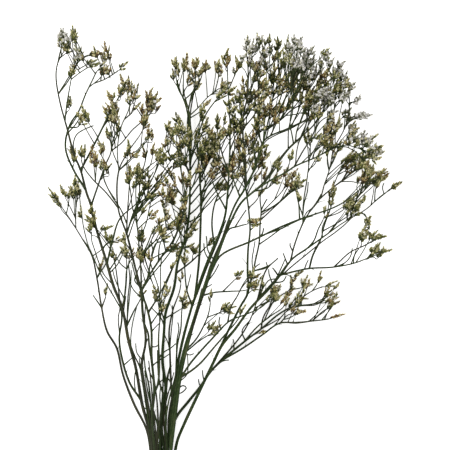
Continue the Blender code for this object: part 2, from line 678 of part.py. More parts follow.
def tidy_mesh(mesh):
    """Merge points that coincide and keep only the largest closed body."""
    shape = bmesh.new()
    shape.from_mesh(mesh)
    bmesh.ops.remove_doubles(shape, verts=shape.verts, dist=MERGE_DISTANCE)
    bmesh.ops.dissolve_degenerate(shape, dist=MERGE_DISTANCE, edges=shape.edges)
    bmesh.ops.triangulate(shape, faces=shape.faces)
    bodies = []
    left = set(shape.verts)
    while left:
        body, front = set(), [left.pop()]
        while front:
            corner = front.pop()
            body.add(corner)
            for edge in corner.link_edges:
                other = edge.other_vert(corner)
                if other in left:
                    left.remove(other)
                    front.append(other)
        bodies.append(body)
    bodies.sort(key=len, reverse=True)
    for body in bodies[1:]:
        bmesh.ops.delete(shape, geom=list(body), context="VERTS")
    bmesh.ops.recalc_face_normals(shape, faces=shape.faces)
    shape.to_mesh(mesh)
    shape.free()


def material(name, colour, roughness):
    """A plain Principled material."""
    surface = bpy.data.materials.new(name)
    surface.use_nodes = True
    shader = surface.node_tree.nodes["Principled BSDF"]
    shader.inputs["Base Color"].default_value = colour
    shader.inputs["Roughness"].default_value = roughness
    shader.inputs["Metallic"].default_value = 0.0
    return surface


def build_stem(name, stem, draw):
    """One whole stem: main stem, branches, twigs and spikes, fused."""
    trunk, axis = main_stem(name, stem)
    axes = [axis]
    twigs = []
    for k, points in enumerate(stem["branches"]):
        deviation = 2.0 * ((FIRST_DEVIATION + GOLDEN_SHARE * k) % 1.0) - 1.0
        route, parent_radius = branch_route(stem, axes, points, deviation)
        twig, axis = branch(f"{name}_branch_{k}", route, parent_radius, True)
        twigs.append(twig)
        axes.append(axis)
    for k, points in enumerate(stem["bare"]):
        route, parent_radius = branch_route(stem, axes, points, BARE_DEVIATION * (-1) ** k)
        twig, _ = branch(f"{name}_bare_{k}", route, parent_radius, False)
        twigs.append(twig)
    for spray in stem["sprays"]:
        for route, parent_radius in spray_routes(stem, axes, spray, draw):
            twig, _ = branch(f"{name}_spike", route, parent_radius, True)
            twigs.append(twig)
    skins = (material(name + "_green", STEM_GREEN, 0.8), material(name + "_florets", FLORET_TAN, 0.9))
    for piece in [trunk] + twigs:
        for skin in skins:
            piece.data.materials.append(skin)
    fused(name, trunk, twigs)


def main():
    """Clear the scene and build the ten stems."""
    for existing in list(bpy.data.objects):
        bpy.data.objects.remove(existing)
    draw = random.Random(RANDOM_SEED)
    for name, stem in STEMS.items():
        build_stem(name, stem, draw)


main()
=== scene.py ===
"""A loose bunch of dried statice lying on a pale table, seen from straight above.

Ten cut stems fan out into branches, twigs and floret spikes. Each stem is grown from its
routes on a drawing sheet, then dressed with ribbed stalks, scale leaves and papery florets.
Lengths are in metres, +Y runs from the cut ends to the crown and Z = 0 is the table.
"""

import logging
import math
import random
from dataclasses import dataclass, field
from enum import Enum

import bpy
import numpy as np
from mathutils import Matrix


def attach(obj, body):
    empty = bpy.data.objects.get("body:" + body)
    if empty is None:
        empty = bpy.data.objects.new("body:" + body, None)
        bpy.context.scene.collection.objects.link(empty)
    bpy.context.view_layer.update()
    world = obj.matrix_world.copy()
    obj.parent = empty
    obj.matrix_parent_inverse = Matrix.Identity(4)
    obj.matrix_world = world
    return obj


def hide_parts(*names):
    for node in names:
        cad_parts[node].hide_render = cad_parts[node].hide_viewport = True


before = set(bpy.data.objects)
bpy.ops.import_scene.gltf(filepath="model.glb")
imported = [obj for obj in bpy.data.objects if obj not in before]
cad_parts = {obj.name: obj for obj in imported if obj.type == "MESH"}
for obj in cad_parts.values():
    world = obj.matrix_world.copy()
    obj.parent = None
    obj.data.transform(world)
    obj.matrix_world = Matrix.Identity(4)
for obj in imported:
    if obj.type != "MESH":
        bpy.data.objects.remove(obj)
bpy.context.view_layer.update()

LOG = logging.getLogger("statice")

Point = tuple[float, float]
Range = tuple[float, float]
Route = list[Point]
Spray = tuple[float, float, float, float, int]

UP = (0.0, 0.0, 1.0)
TABLE_GAP = 0.00005
SOLID_SEED = 41


def unit(vectors: np.ndarray) -> np.ndarray:
    """The vector, or each row's vector, scaled to length 1."""
    return vectors / np.maximum(np.linalg.norm(vectors, axis=-1, keepdims=True), 1e-9)


def nudged(amount: float, nudge: Range, draw: random.Random) -> float:
    """An amount with a seeded difference of its own, kept within 0 and 1."""
    return float(np.clip(amount + draw.uniform(*nudge), 0.0, 1.0))


class Skin(Enum):
    """The finishes of a stem's pieces, by their place in a piece's material list."""

    STALK = 0
    PITH = 1
    BRACT = 2
    CALYX = 3
    COROLLA = 4


@dataclass(frozen=True)
class DrawingSheet:
    """The sheet, seen from straight above, on which the routes are laid out."""

    step: float = 0.0012
    centre: Point = (224.2, 278.0)

    def plan(self, point: Point) -> np.ndarray:
        """Plan position of a (column, row) point."""
        column, row = self.centre
        return np.array([(point[0] - column) * self.step, (row - point[1]) * self.step])

    def point(self, plan: np.ndarray) -> Point:
        """The (column, row) point of a plan position."""
        return (plan[0] / self.step + self.centre[0], self.centre[1] - plan[1] / self.step)


SHEET = DrawingSheet()


@dataclass(frozen=True)
class StemPlan:
    """One stem as laid out: its sizes, the layer of height it keeps to, and its routes.

    A branch starts on what carries it and ends in a spike, a bare twig ends plainly, and a
    spray is (column, row, width, height, spikes). Fine twigs, which end in spikes, bare shoots,
    side stems from the neck and filling sprays are the ones that the solid leaves out.
    """

    name: str
    radius: float
    neck: float
    crown: float
    half_depth: float
    route: Route
    branches: list[Route]
    bare: list[Route]
    sprays: list[Spray]
    fine: list[Route] = field(default_factory=list)
    shoots: list[Route] = field(default_factory=list)
    side_stems: list[Route] = field(default_factory=list)
    fillers: list[Spray] = field(default_factory=list)
    fullness: float = 1.0
    side_spikes: tuple[int, ...] = (1, 2, 2, 3)


STEM_1 = StemPlan(
    name="stem_1", radius=0.0013, neck=0.0012, crown=0.0065, half_depth=0.008,
    route=[(155, 520), (152, 470), (147, 431), (134, 404), (123, 375), (116.7, 348), (107, 331),
           (101.6, 307), (97, 278), (92, 256), (83, 240), (67, 214.6), (48, 188)],
    branches=[
        [(92, 254), (86.6, 240), (83, 224), (81, 205)],
        [(75, 228), (76, 211), (77, 198), (75, 183)], [(67, 214.6), (69, 203), (70, 190)],
        [(97, 278), (101, 269), (104, 258)], [(101.6, 307), (106, 296), (108, 283)],
    ],
    bare=[[(101.6, 307), (93, 295)]],
    sprays=[(79, 190, 12, 18, 4), (66, 196, 12, 10, 3), (57, 199, 6, 6, 1)],
    shoots=[
        [(94, 255), (100, 251), (106, 245), (112, 241)],
        [(97, 279), (100, 273), (104, 267), (107, 261)],
    ],
    fillers=[(78, 191, 12, 14, 3), (59, 203, 3, 3, 1)],
    fullness=0.8, side_spikes=(0, 0, 1, 1),
)

STEM_2 = StemPlan(
    name="stem_2", radius=0.0018, neck=0.0053, crown=0.032, half_depth=0.009,
    route=[(158, 523), (152, 470), (149, 430), (142.4, 405), (136, 368), (128.7, 340), (122.7, 309),
           (113.5, 285), (106, 259), (97, 230), (91.5, 206), (87, 193), (81, 170), (74.6, 155),
           (68, 130), (60.5, 102.5), (56.6, 78), (58, 65), (64, 53), (79, 33)],
    branches=[
        [(141, 401), (130, 383), (121.6, 355.5), (119.5, 338), (122, 318), (120, 300), (117, 275),
         (113, 248)],
        [(127.6, 326), (134, 311), (141, 298), (144, 285)],
        [(108, 264), (113, 240), (120, 219), (137, 203), (145, 189)],
        [(91.9, 207), (98.6, 185), (106, 164.6), (111.6, 150), (107, 128)],
        [(111.6, 152), (122, 143), (132, 131), (147, 116), (152, 94)],
        [(111.6, 150), (118, 134), (120, 120)], [(140.5, 121.5), (143.4, 104)],
        [(86, 190), (74, 170), (66, 148), (70, 126), (79.6, 111), (86, 95), (93, 80.6), (98, 71),
         (107, 62)],
        [(90, 87), (100, 79), (109, 66)], [(94, 84), (105, 80), (119, 71), (129, 62)],
        [(81, 170), (91.5, 151), (102, 130), (110, 113), (120, 96), (127, 81)],
        [(60.5, 95), (70, 76), (77, 64), (82, 48)], [(77, 63), (87, 57), (102, 54)],
        [(67, 121), (67.5, 104), (71, 83.5), (74, 66)], [(72, 81), (80, 73.6), (89, 68), (101, 63)],
        [(70, 128), (79, 127), (86, 115)], [(96, 228), (92, 216), (93, 204)],
        [(81, 172), (85, 160), (86, 145)], [(123, 309), (125.5, 292), (127, 266), (125, 245)],
        [(127, 324), (128, 300), (130, 278), (129, 262), (134, 247)],
    ],
    bare=[[(125, 366), (133, 357)]],
    sprays=[
        (67, 41, 12, 12, 3), (76, 39, 12, 8, 2), (81, 57, 10, 14, 2), (70, 103, 5, 14, 1),
        (109, 56, 9, 16, 3), (87, 117, 14, 10, 3), (153, 104, 12, 20, 4), (126, 90, 12, 20, 4),
        (103, 150, 10, 12, 2), (92, 228, 8, 18, 2), (113, 106, 9, 20, 3), (111, 242, 12, 10, 2),
        (109, 72, 7, 8, 1),
    ],
    fine=[
        [(80, 74), (76, 66), (77, 56)], [(78, 63), (83, 58.5), (88, 56), (96, 55), (105, 55)],
        [(79, 70), (86, 66), (93, 65), (100, 64.5)], [(64, 60), (68, 52), (72, 44)],
        [(102, 249), (107, 243.5), (116, 240.5), (125, 240)],
        [(97, 237), (101, 232), (107, 229), (113, 226)],
    ],
    shoots=[
        [(134, 392), (134.5, 380), (136, 368)],
        [(109, 286), (104, 274), (99, 262), (95, 250), (92, 240), (92, 232)],
        [(112, 270), (115, 262), (119, 256), (122, 250)],
        [(113, 272), (118, 264), (121, 258), (124, 252)],
        [(124, 298), (119, 288), (115, 278), (113, 270)],
        [(126, 270), (121, 264), (116, 256), (113, 250)],
        [(127, 318), (129.5, 300), (131, 285), (131.5, 270)], [(68.5, 131), (74, 122), (80, 113)],
        [(69, 134), (76, 125), (81, 117)],
        [(75, 154), (74, 143), (77, 135), (84, 130), (91, 127), (94, 126)],
        [(112, 148), (114, 138), (119, 130)], [(61, 95), (67, 84), (73, 74), (77, 66), (81, 58)],
        [(107, 128), (111, 113), (116, 103), (121, 95)],
        [(106, 131), (110, 118), (115, 107), (119, 99)],
        [(103, 165), (104, 178), (108, 188), (116, 200)],
        [(124, 345), (119.5, 332), (118.5, 318), (121, 305)],
        [(136, 368), (132, 352), (131, 338), (133, 322), (137, 306)],
        [(131, 346), (126, 328), (124, 312), (126, 296)],
    ],
    side_stems=[
        [(148, 425), (147, 400), (143, 380), (140, 367), (135, 356), (131, 345)],
        [(121.5, 309), (115, 298), (108, 286), (100, 272), (94, 258), (90, 249), (83, 239)],
        [(123, 309), (124.5, 298), (126, 284), (127, 270), (130, 262), (135, 255), (139, 249)],
    ],
    fillers=[
        (75, 158, 7, 12, 2), (66, 38, 9, 7, 3), (66, 48, 9, 7, 2), (76, 36, 7, 7, 2),
        (97, 54, 8, 4, 1), (108, 117, 5, 10, 2), (117, 116, 5, 16, 3), (154, 107, 12, 12, 3),
        (108, 169, 10, 6, 2), (94, 220, 5, 20, 3),
    ],
)

STEM_3 = StemPlan(
    name="stem_3", radius=0.0015, neck=0.0094, crown=0.058, half_depth=0.01,
    route=[(159, 525), (154, 470), (150.5, 420), (144, 382), (142, 364), (146, 340), (143, 312.6),
           (141.5, 292), (135, 265), (127.5, 235), (118.6, 208), (119.4, 171), (129.6, 151),
           (143, 131), (147, 112)],
    branches=[
        [(118, 208), (106, 192), (93, 179), (83, 164), (82, 146)],
        [(97, 182), (97, 170), (99, 156)],
        [(127, 235), (137, 207), (150, 195), (165, 180), (181, 160)],
        [(140, 204), (140, 190), (140, 172)], [(148, 197), (149, 184), (149, 168)],
        [(127.5, 233), (128, 212), (129.5, 190), (131, 166)],
        [(127, 156), (136, 152), (145, 142), (153, 132)],
        [(119.4, 171), (118, 150), (122, 127), (129, 111), (134, 90)],
        [(125, 119), (133, 113), (141, 103)], [(119, 165), (113, 150), (112, 128), (114, 112)],
        [(131, 250), (127, 244), (124, 232)],
    ],
    bare=[],
    sprays=[
        (96, 158, 12, 12, 2), (144, 175, 12, 12, 2), (135, 97, 12, 20, 4), (152, 136, 10, 10, 2),
        (146, 124, 8, 8, 2), (116, 118, 8, 16, 2), (127, 248, 8, 9, 1), (130, 147, 8, 10, 1),
        (131, 172, 5, 9, 1),
    ],
    fine=[
        [(128, 223), (121, 209), (113, 197), (106, 183), (103, 172), (102, 160)],
        [(121, 170), (130, 162), (136, 155.5), (141, 151)],
        [(128, 185), (127.5, 170), (128, 157), (129, 146)],
        [(158, 184), (163, 173), (170, 163), (178, 151)],
        [(158, 184), (166, 175), (174, 165), (183, 158)],
        [(141, 178), (144, 168), (146, 158), (143, 146)],
        [(147, 176), (150, 167), (153, 157), (155, 144)],
        [(133, 222), (140, 209), (147, 199), (155, 189), (162, 180)],
        [(136, 212), (143, 202), (150, 192), (157, 182), (163, 172)],
        [(134, 210), (140, 198), (147, 188), (153, 179)],
        [(131, 224), (136, 212), (141, 200), (146, 190), (150, 180)],
        [(150, 186), (156, 172), (161, 161), (168, 151)],
    ],
    shoots=[
        [(141, 372), (143, 357), (146, 344), (149, 336)],
        [(143.5, 350), (145.5, 335), (145, 318), (145.5, 303), (143, 292)],
        [(138.5, 360), (137, 352), (136, 343)], [(149, 412), (147, 409), (143.5, 407)],
        [(141, 297), (137, 293), (133, 288), (130, 281)],
        [(140, 290), (137, 280), (134, 270), (132, 262)], [(134, 287), (135, 280), (138, 272)],
        [(137, 216), (148, 205), (158, 197), (166, 192)],
        [(134, 206), (141, 193), (148, 182), (154, 172)],
        [(133, 216), (141, 206), (150, 197), (159, 188)],
        [(120, 171), (127, 163), (134, 156), (142, 148), (149, 139)],
        [(129, 238), (132, 228), (135, 219), (137, 211)],
        [(134, 218), (142, 208), (150, 199), (160, 195)],
        [(150, 193), (157, 184), (165, 174), (172, 166)],
        [(146, 196), (150, 185), (155, 174), (158, 164)],
    ],
    side_stems=[
        [(154, 470), (152.5, 425), (151, 405), (149, 385), (145.5, 368), (144, 350)],
        [(152, 440), (147, 410), (144, 390), (141, 372), (139.5, 358)],
    ],
    fillers=[(142, 182, 12, 16, 3)],
    side_spikes=(0, 1, 2, 2),
)

STEM_4 = StemPlan(
    name="stem_4", radius=0.0014, neck=0.0135, crown=0.083, half_depth=0.0105,
    route=[(161, 520), (157, 470), (152.5, 418), (154.5, 390), (152, 357), (151.6, 328), (147, 306),
           (142.5, 292), (147, 280), (161, 258), (173, 241), (182, 220), (185, 195), (181, 170),
           (178, 150), (176, 124)],
    branches=[
        [(149, 312), (160, 294), (171, 271), (178, 258)], [(180, 168), (188, 152), (192, 132)],
        [(184, 200), (176, 186), (168, 168)], [(184, 205), (193, 186), (200, 164)],
        [(158, 262), (160, 246), (166, 229)],
        [(152, 366), (149.5, 345), (148.5, 333), (144.5, 322), (142, 300), (141.5, 272),
         (139.5, 245), (137.5, 225), (133, 207), (131, 190), (127, 172)],
        [(154.5, 393), (158, 384), (159.5, 365), (158.8, 340), (160, 322), (164, 300)],
        [(149, 277), (152, 258), (157, 243), (166, 229), (178, 220)],
        [(161, 258), (167, 252), (180, 249)], [(138, 230), (147, 221), (159, 211)],
    ],
    bare=[[(153.7, 366), (159.4, 359), (161, 354)], [(152, 323), (156.5, 316), (160, 311)]],
    sprays=[
        (157, 296, 6, 12, 2), (168, 293, 9, 12, 2), (172, 140, 12, 26, 5), (186, 140, 12, 24, 5),
        (200, 150, 10, 18, 3), (162, 160, 9, 10, 2), (168, 216, 14, 12, 3),
    ],
    fine=[
        [(160, 320), (159, 305), (156, 291), (152, 280), (149, 270), (145, 258), (141, 246)],
        [(161, 312), (160, 298), (158, 285), (154, 273), (151, 262), (150, 250)],
        [(137.5, 226), (137, 208), (136.5, 192), (137.5, 178), (138.5, 164)],
        [(142, 238), (145, 228), (148, 218), (150, 208), (153, 198), (160, 193)],
        [(138, 222), (143, 213), (149, 204)], [(147, 250), (152, 240), (157, 231), (163, 225)],
        [(143, 258), (148, 244), (153, 232), (160, 223), (168, 216)],
        [(158, 244), (164, 240.5), (171, 236)], [(162, 236), (169, 229), (178, 223)],
        [(180, 249), (187, 248), (195, 243.5)], [(167, 250.5), (175, 247), (181, 242)],
        [(168, 168), (169.5, 155), (168.5, 142), (169.5, 121)],
        [(184, 205), (185.5, 195), (187.5, 184), (190, 172)],
        [(173, 241), (177, 232), (180, 222), (181, 210)],
    ],
    shoots=[
        [(160, 357), (165, 351), (171, 347.5), (176, 343)],
        [(153, 380), (150.5, 373), (148.5, 367)], [(151.8, 331), (156, 326.5), (160, 322.5)],
        [(152, 347), (155, 346.5), (158, 345)], [(163, 360), (166, 356), (170, 353)],
        [(156, 388), (160, 382), (163, 379)],
        [(146, 290), (153, 274), (163, 262), (172, 250), (180, 236), (184, 226)],
        [(131, 290), (137, 276), (142, 262), (148, 248), (155, 234), (160, 226)],
        [(137, 262), (146, 250), (157, 240), (166, 236), (176, 229)],
        [(140, 256), (150, 247), (156, 240), (162, 228)],
        [(149, 258), (160, 254.5), (170, 250), (180, 247.5), (190, 246)],
        [(140, 215), (146, 207), (151, 201), (157, 196), (162, 194)],
        [(161, 300), (161, 285), (161, 270), (162, 256)],
        [(150, 275), (151, 262), (153, 250), (156, 243)],
    ],
    side_stems=[
        [(158, 470), (156, 440), (155, 425), (153, 405), (152, 390), (150.5, 375), (149, 360)],
        [(157, 450), (158, 425), (157.5, 405), (156, 390), (154, 376)],
        [(156, 480), (157.5, 455), (158, 436), (160, 420), (161, 408), (160, 396), (161, 384)],
        [(157, 480), (160, 455), (159.5, 436), (156, 418), (150, 400), (147, 385), (145, 370)],
    ],
    fillers=[
        (144, 237, 7, 8, 3), (141, 258, 8, 8, 2), (162, 232, 8, 14, 2), (180, 227, 8, 8, 2),
        (165, 157, 14, 10, 3), (171, 191, 16, 20, 5), (186, 206, 6, 16, 3), (186, 184, 12, 12, 2),
    ],
    fullness=0.75,
)

STEM_5 = StemPlan(
    name="stem_5", radius=0.0017, neck=0.0013, crown=0.012, half_depth=0.012,
    route=[(163, 522), (161.5, 470), (161, 420), (165.7, 389), (162.5, 361), (164, 332),
           (165.7, 312.6), (174, 288), (177.7, 263), (184.8, 240), (189, 215), (190, 190),
           (190, 150), (189.3, 114), (186, 103), (178, 88), (175, 58)],
    branches=[
        [(185, 97), (183.3, 86), (184, 59)], [(188.6, 108), (194, 90.5), (196, 70), (196, 57)],
        [(192, 94), (199, 84), (206, 62)],
        [(190, 117), (199, 107), (207, 98), (220, 88), (231, 82)],
        [(213, 91), (218, 80), (219, 62)], [(177, 274), (192, 261), (205, 248), (216, 237)],
        [(165.7, 318), (180, 309.5), (192, 301)], [(189.5, 150), (180, 134), (178, 116)],
        [(190, 160), (199, 140), (208, 122)], [(189, 118), (200, 112), (211, 100)],
    ],
    bare=[[(164.6, 326), (161, 318), (152, 308)]],
    sprays=[
        (178, 72, 10, 20, 4), (187, 70, 8, 22, 3), (201, 73, 18, 20, 5), (225, 89, 14, 9, 3),
        (220, 72, 11, 14, 3), (180, 126, 12, 16, 3), (206, 124, 14, 18, 3), (196, 250, 8, 7, 1),
        (217, 125, 6, 14, 1),
    ],
    fine=[
        [(164, 322), (161, 308), (163, 291), (168, 280), (172, 270), (177, 258), (182, 246)],
        [(188, 232), (195, 220), (200, 213), (205, 205), (211, 197), (217, 190), (224, 180)],
        [(190, 222), (200, 216), (203, 210), (210, 203), (215, 197), (222, 190), (229, 182)],
        [(191, 215), (197, 208), (205, 198), (213, 188), (221, 178), (229, 167)],
        [(190, 205), (198, 196), (205, 187), (213, 176), (222, 166)],
        [(190, 198), (198, 186), (206, 176), (213, 166), (220, 156)],
        [(190, 190), (197, 180), (203, 168), (209, 158), (216, 150)],
        [(190, 180), (196, 171), (203, 163), (210, 154)],
        [(190, 170), (196, 160), (203, 151), (211, 146)],
        [(190, 180), (188, 171), (184, 163), (180, 155)],
        [(190, 172), (186, 165), (182, 158), (178, 150)],
        [(190, 165), (193, 150), (196, 140), (198, 128)],
        [(187, 97), (191, 94), (195, 88), (200, 80)], [(187, 92), (188, 84), (189, 74)],
    ],
    shoots=[[(158, 392), (162, 398), (163, 403)]],
    side_stems=[
        [(162, 470), (160, 440), (160, 420), (162, 402), (163, 385), (163, 365)],
        [(162, 480), (159, 455), (161.5, 430), (164, 412), (166, 395), (167.5, 380), (171, 362)],
        [(163, 470), (164.5, 440), (166, 420), (165, 400), (160, 384), (158, 368), (157.5, 350)],
        [(190, 165), (189, 140), (188.5, 120), (185.5, 105), (180.5, 92), (177, 80)],
        [(190, 150), (190.5, 130), (190.5, 112), (193, 98), (195.5, 86)],
        [(190, 160), (191.5, 140), (190, 120), (187.5, 106), (184.5, 95), (183, 85)],
        [(189.5, 150), (187.5, 130), (188, 115), (189.5, 105), (191.5, 95), (195, 87)],
    ],
    fillers=[
        (185, 220, 6, 14, 3), (196, 226, 12, 4, 2), (172, 200, 12, 12, 4), (188, 145, 12, 10, 3),
        (201, 156, 14, 8, 2),
    ],
    fullness=0.7,
)

STEM_6 = StemPlan(
    name="stem_6", radius=0.0016, neck=0.0094, crown=0.05, half_depth=0.01,
    route=[(167, 524), (166.5, 470), (170, 425), (176, 375), (182, 343.5), (189.7, 314),
           (199.6, 283), (210, 255), (219, 234), (225, 216), (227.5, 195), (229, 172), (230, 140),
           (229.5, 112), (228, 88), (227, 52)],
    branches=[
        [(195, 297), (199, 262), (200.5, 230), (201, 200), (199, 165), (198, 140), (205, 117),
         (215, 102), (226, 90)],
        [(199, 140), (200, 122), (205, 105)], [(215, 103), (227, 96), (237, 87)],
        [(228, 92), (233, 80), (240, 64)], [(192, 305), (187, 290), (185, 270), (184, 252)],
        [(229, 172), (219, 158), (214, 140)], [(228, 190), (238, 170), (243, 150)],
        [(226, 210), (214, 186), (210, 168)],
        [(173, 402), (171, 380), (170, 350), (169.3, 331), (173, 310), (180, 290), (182, 270)],
        [(176, 376), (177.5, 345), (181, 328), (182, 310), (185, 290)],
        [(214, 246), (212, 222), (216, 200), (226, 184), (242, 172)],
        [(201, 208), (206, 190), (216, 176), (231, 163)],
    ],
    bare=[],
    sprays=[
        (228, 64, 7, 18, 2), (239, 67, 9, 7, 2), (214, 142, 16, 20, 5), (228, 132, 14, 28, 5),
        (240, 156, 14, 18, 4), (205, 163, 10, 14, 2),
    ],
    fine=[
        [(229, 172), (224, 160), (221, 150), (218, 138), (217.5, 114)],
        [(228, 185), (221, 172), (216, 160), (212, 148)],
        [(227, 200), (233, 188), (240, 176), (247, 166)],
        [(201, 205), (207, 196), (215, 186), (223, 176), (231, 166)],
        [(201, 200), (204, 188), (209, 176), (214, 168), (222, 158)],
        [(201, 195), (209, 186), (217, 179), (226, 172), (236, 166)],
        [(229, 150), (235, 138), (239, 128), (241, 118)], [(230, 135), (234, 124), (236, 114)],
        [(201, 180), (205, 170), (209, 160), (214, 150)], [(229, 160), (236, 148), (244, 140)],
        [(185, 258), (186, 243), (190, 235), (193, 228)],
    ],
    shoots=[
        [(171, 352), (168, 342), (165, 335), (164, 322)],
        [(171, 348), (171.5, 330), (173, 315), (172.5, 305)],
        [(176, 358), (177, 340), (179, 328), (178, 322)], [(186, 290), (189, 282), (191, 274)],
        [(212, 201), (219, 199), (226, 193)], [(166, 384), (169, 379), (167, 377)],
    ],
    side_stems=[
        [(166, 470), (163, 440), (162, 425), (163, 405), (165, 390), (167, 378), (170, 366)],
        [(167, 460), (165, 435), (164, 415), (167, 398), (171, 384), (174, 372)],
        [(166, 470), (168.5, 440), (168.5, 420), (171, 402), (175, 385), (180, 366), (183, 350)],
        [(192, 305), (198, 291), (205, 272), (212, 255), (219, 238), (226, 220)],
    ],
    fillers=[
        (208, 150, 10, 16, 3), (236, 130, 12, 16, 3), (214, 139, 14, 8, 2), (216, 148, 12, 8, 3),
    ],
    fullness=0.75,
)

STEM_7 = StemPlan(
    name="stem_7", radius=0.0016, neck=0.0135, crown=0.073, half_depth=0.01,
    route=[(168, 521), (169.5, 470), (173, 418), (179, 372), (186, 343), (193, 322), (203, 290),
           (214, 258), (222, 240), (228, 222), (236, 203), (246, 187), (256, 165), (262, 146),
           (266, 130), (270, 112), (272.5, 96), (270, 78), (269, 34)],
    branches=[
        [(272.5, 97), (278, 80), (278, 58), (277, 38)],
        [(246, 187), (245, 165), (243, 140), (243, 118), (247, 98), (248, 75), (245, 42)],
        [(256, 166), (264, 141), (288, 129), (310, 118), (325, 105), (335, 88)],
        [(266, 131), (280, 121), (291, 111), (303, 103), (310, 86)],
        [(244, 130), (256, 112), (258, 92), (256, 64)],
        [(189, 352), (196, 339), (207, 318), (210, 306), (211, 289)],
        [(207, 317), (219, 312.5), (236, 306)], [(186, 356), (200, 340), (211, 333), (222, 324)],
        [(201, 296), (215, 292), (230, 291), (248, 289), (257, 280)],
        [(223, 291), (230, 284), (244, 270)], [(274, 92), (284, 75), (286, 40)],
        [(280, 121), (290, 95), (291, 68)], [(256, 165), (262, 150), (268, 146)],
        [(240, 197), (233, 178), (232, 160)], [(267, 130), (277, 114), (286, 98), (297, 82)],
        [(290, 128), (299, 108), (303, 88), (304, 66)],
    ],
    bare=[[(239, 290), (243, 284), (251, 272)]],
    sprays=[
        (249, 56, 10, 30, 5), (241, 110, 12, 18, 3), (252, 108, 12, 20, 3), (274, 114, 18, 18, 5),
        (269, 52, 7, 22, 3), (279, 56, 9, 20, 3), (289, 54, 9, 26, 3), (261, 158, 18, 22, 5),
        (245, 140, 12, 18, 3), (262, 76, 12, 30, 5), (214, 330, 10, 9, 2), (228, 309, 12, 5, 2),
        (300, 78, 14, 26, 5), (315, 100, 14, 14, 3), (326, 84, 14, 18, 3), (261, 102, 14, 16, 4),
        (284, 90, 12, 16, 4), (258, 48, 8, 16, 4), (233, 112, 10, 16, 2),
    ],
    fine=[
        [(246, 146), (256, 136), (265, 129), (276, 123), (285, 113), (292, 100)],
        [(288, 118), (296, 115), (304, 112.5), (312, 110)],
        [(264, 140), (264, 128), (265, 118), (268, 106)],
        [(267, 139), (268, 130), (270, 120), (274, 108)],
        [(270, 136), (275, 126), (280, 114), (283, 102)],
        [(272, 128), (278, 116), (283, 104), (287, 92), (291, 82)],
        [(273, 112), (278, 104), (281, 96), (284, 86), (287, 76)],
        [(272, 104), (268, 96), (262, 88), (258, 80)],
        [(272, 100), (276, 92), (279, 84), (280, 72), (281, 60)],
        [(243, 122), (240, 112), (239, 102), (236, 92)],
        [(245, 122), (250, 112), (252, 102), (254, 90)],
        [(256, 166), (254, 154), (252, 142), (253, 130)],
        [(262, 146), (258, 134), (257, 122), (259, 112)],
        [(266, 131), (262, 120), (258, 112), (252, 106)],
        [(281, 121), (286, 112), (290, 104), (296, 94)],
        [(291, 111), (298, 102), (302, 92), (306, 80)],
        [(303, 103), (311, 96), (317, 88), (322, 78)], [(247, 98), (252, 88), (254, 76), (252, 62)],
        [(270, 78), (265, 70), (263, 60), (262, 46)],
    ],
    shoots=[
        [(186, 354), (190, 354.5), (194, 353)], [(185, 384), (187, 374), (188, 362), (187.5, 353)],
        [(178, 391), (183, 385), (186.5, 387), (182, 392), (179.5, 393)],
        [(203, 290), (208, 281), (214, 273), (219, 264)], [(203, 291), (207, 287), (212, 284)],
        [(205, 278), (209, 269), (213, 259)],
    ],
    side_stems=[
        [(169, 470), (167, 440), (166, 420), (169, 400), (173, 385), (177, 368)],
        [(257, 163), (264.5, 143), (276, 135.5), (288, 130.5), (300, 124), (312, 118)],
    ],
    fillers=[
        (250, 150, 16, 16, 4), (262, 126, 14, 12, 3), (268, 92, 14, 14, 3), (246, 92, 10, 16, 3),
        (276, 78, 10, 16, 3), (243, 128, 10, 12, 3), (263, 108, 10, 12, 3),
    ],
)

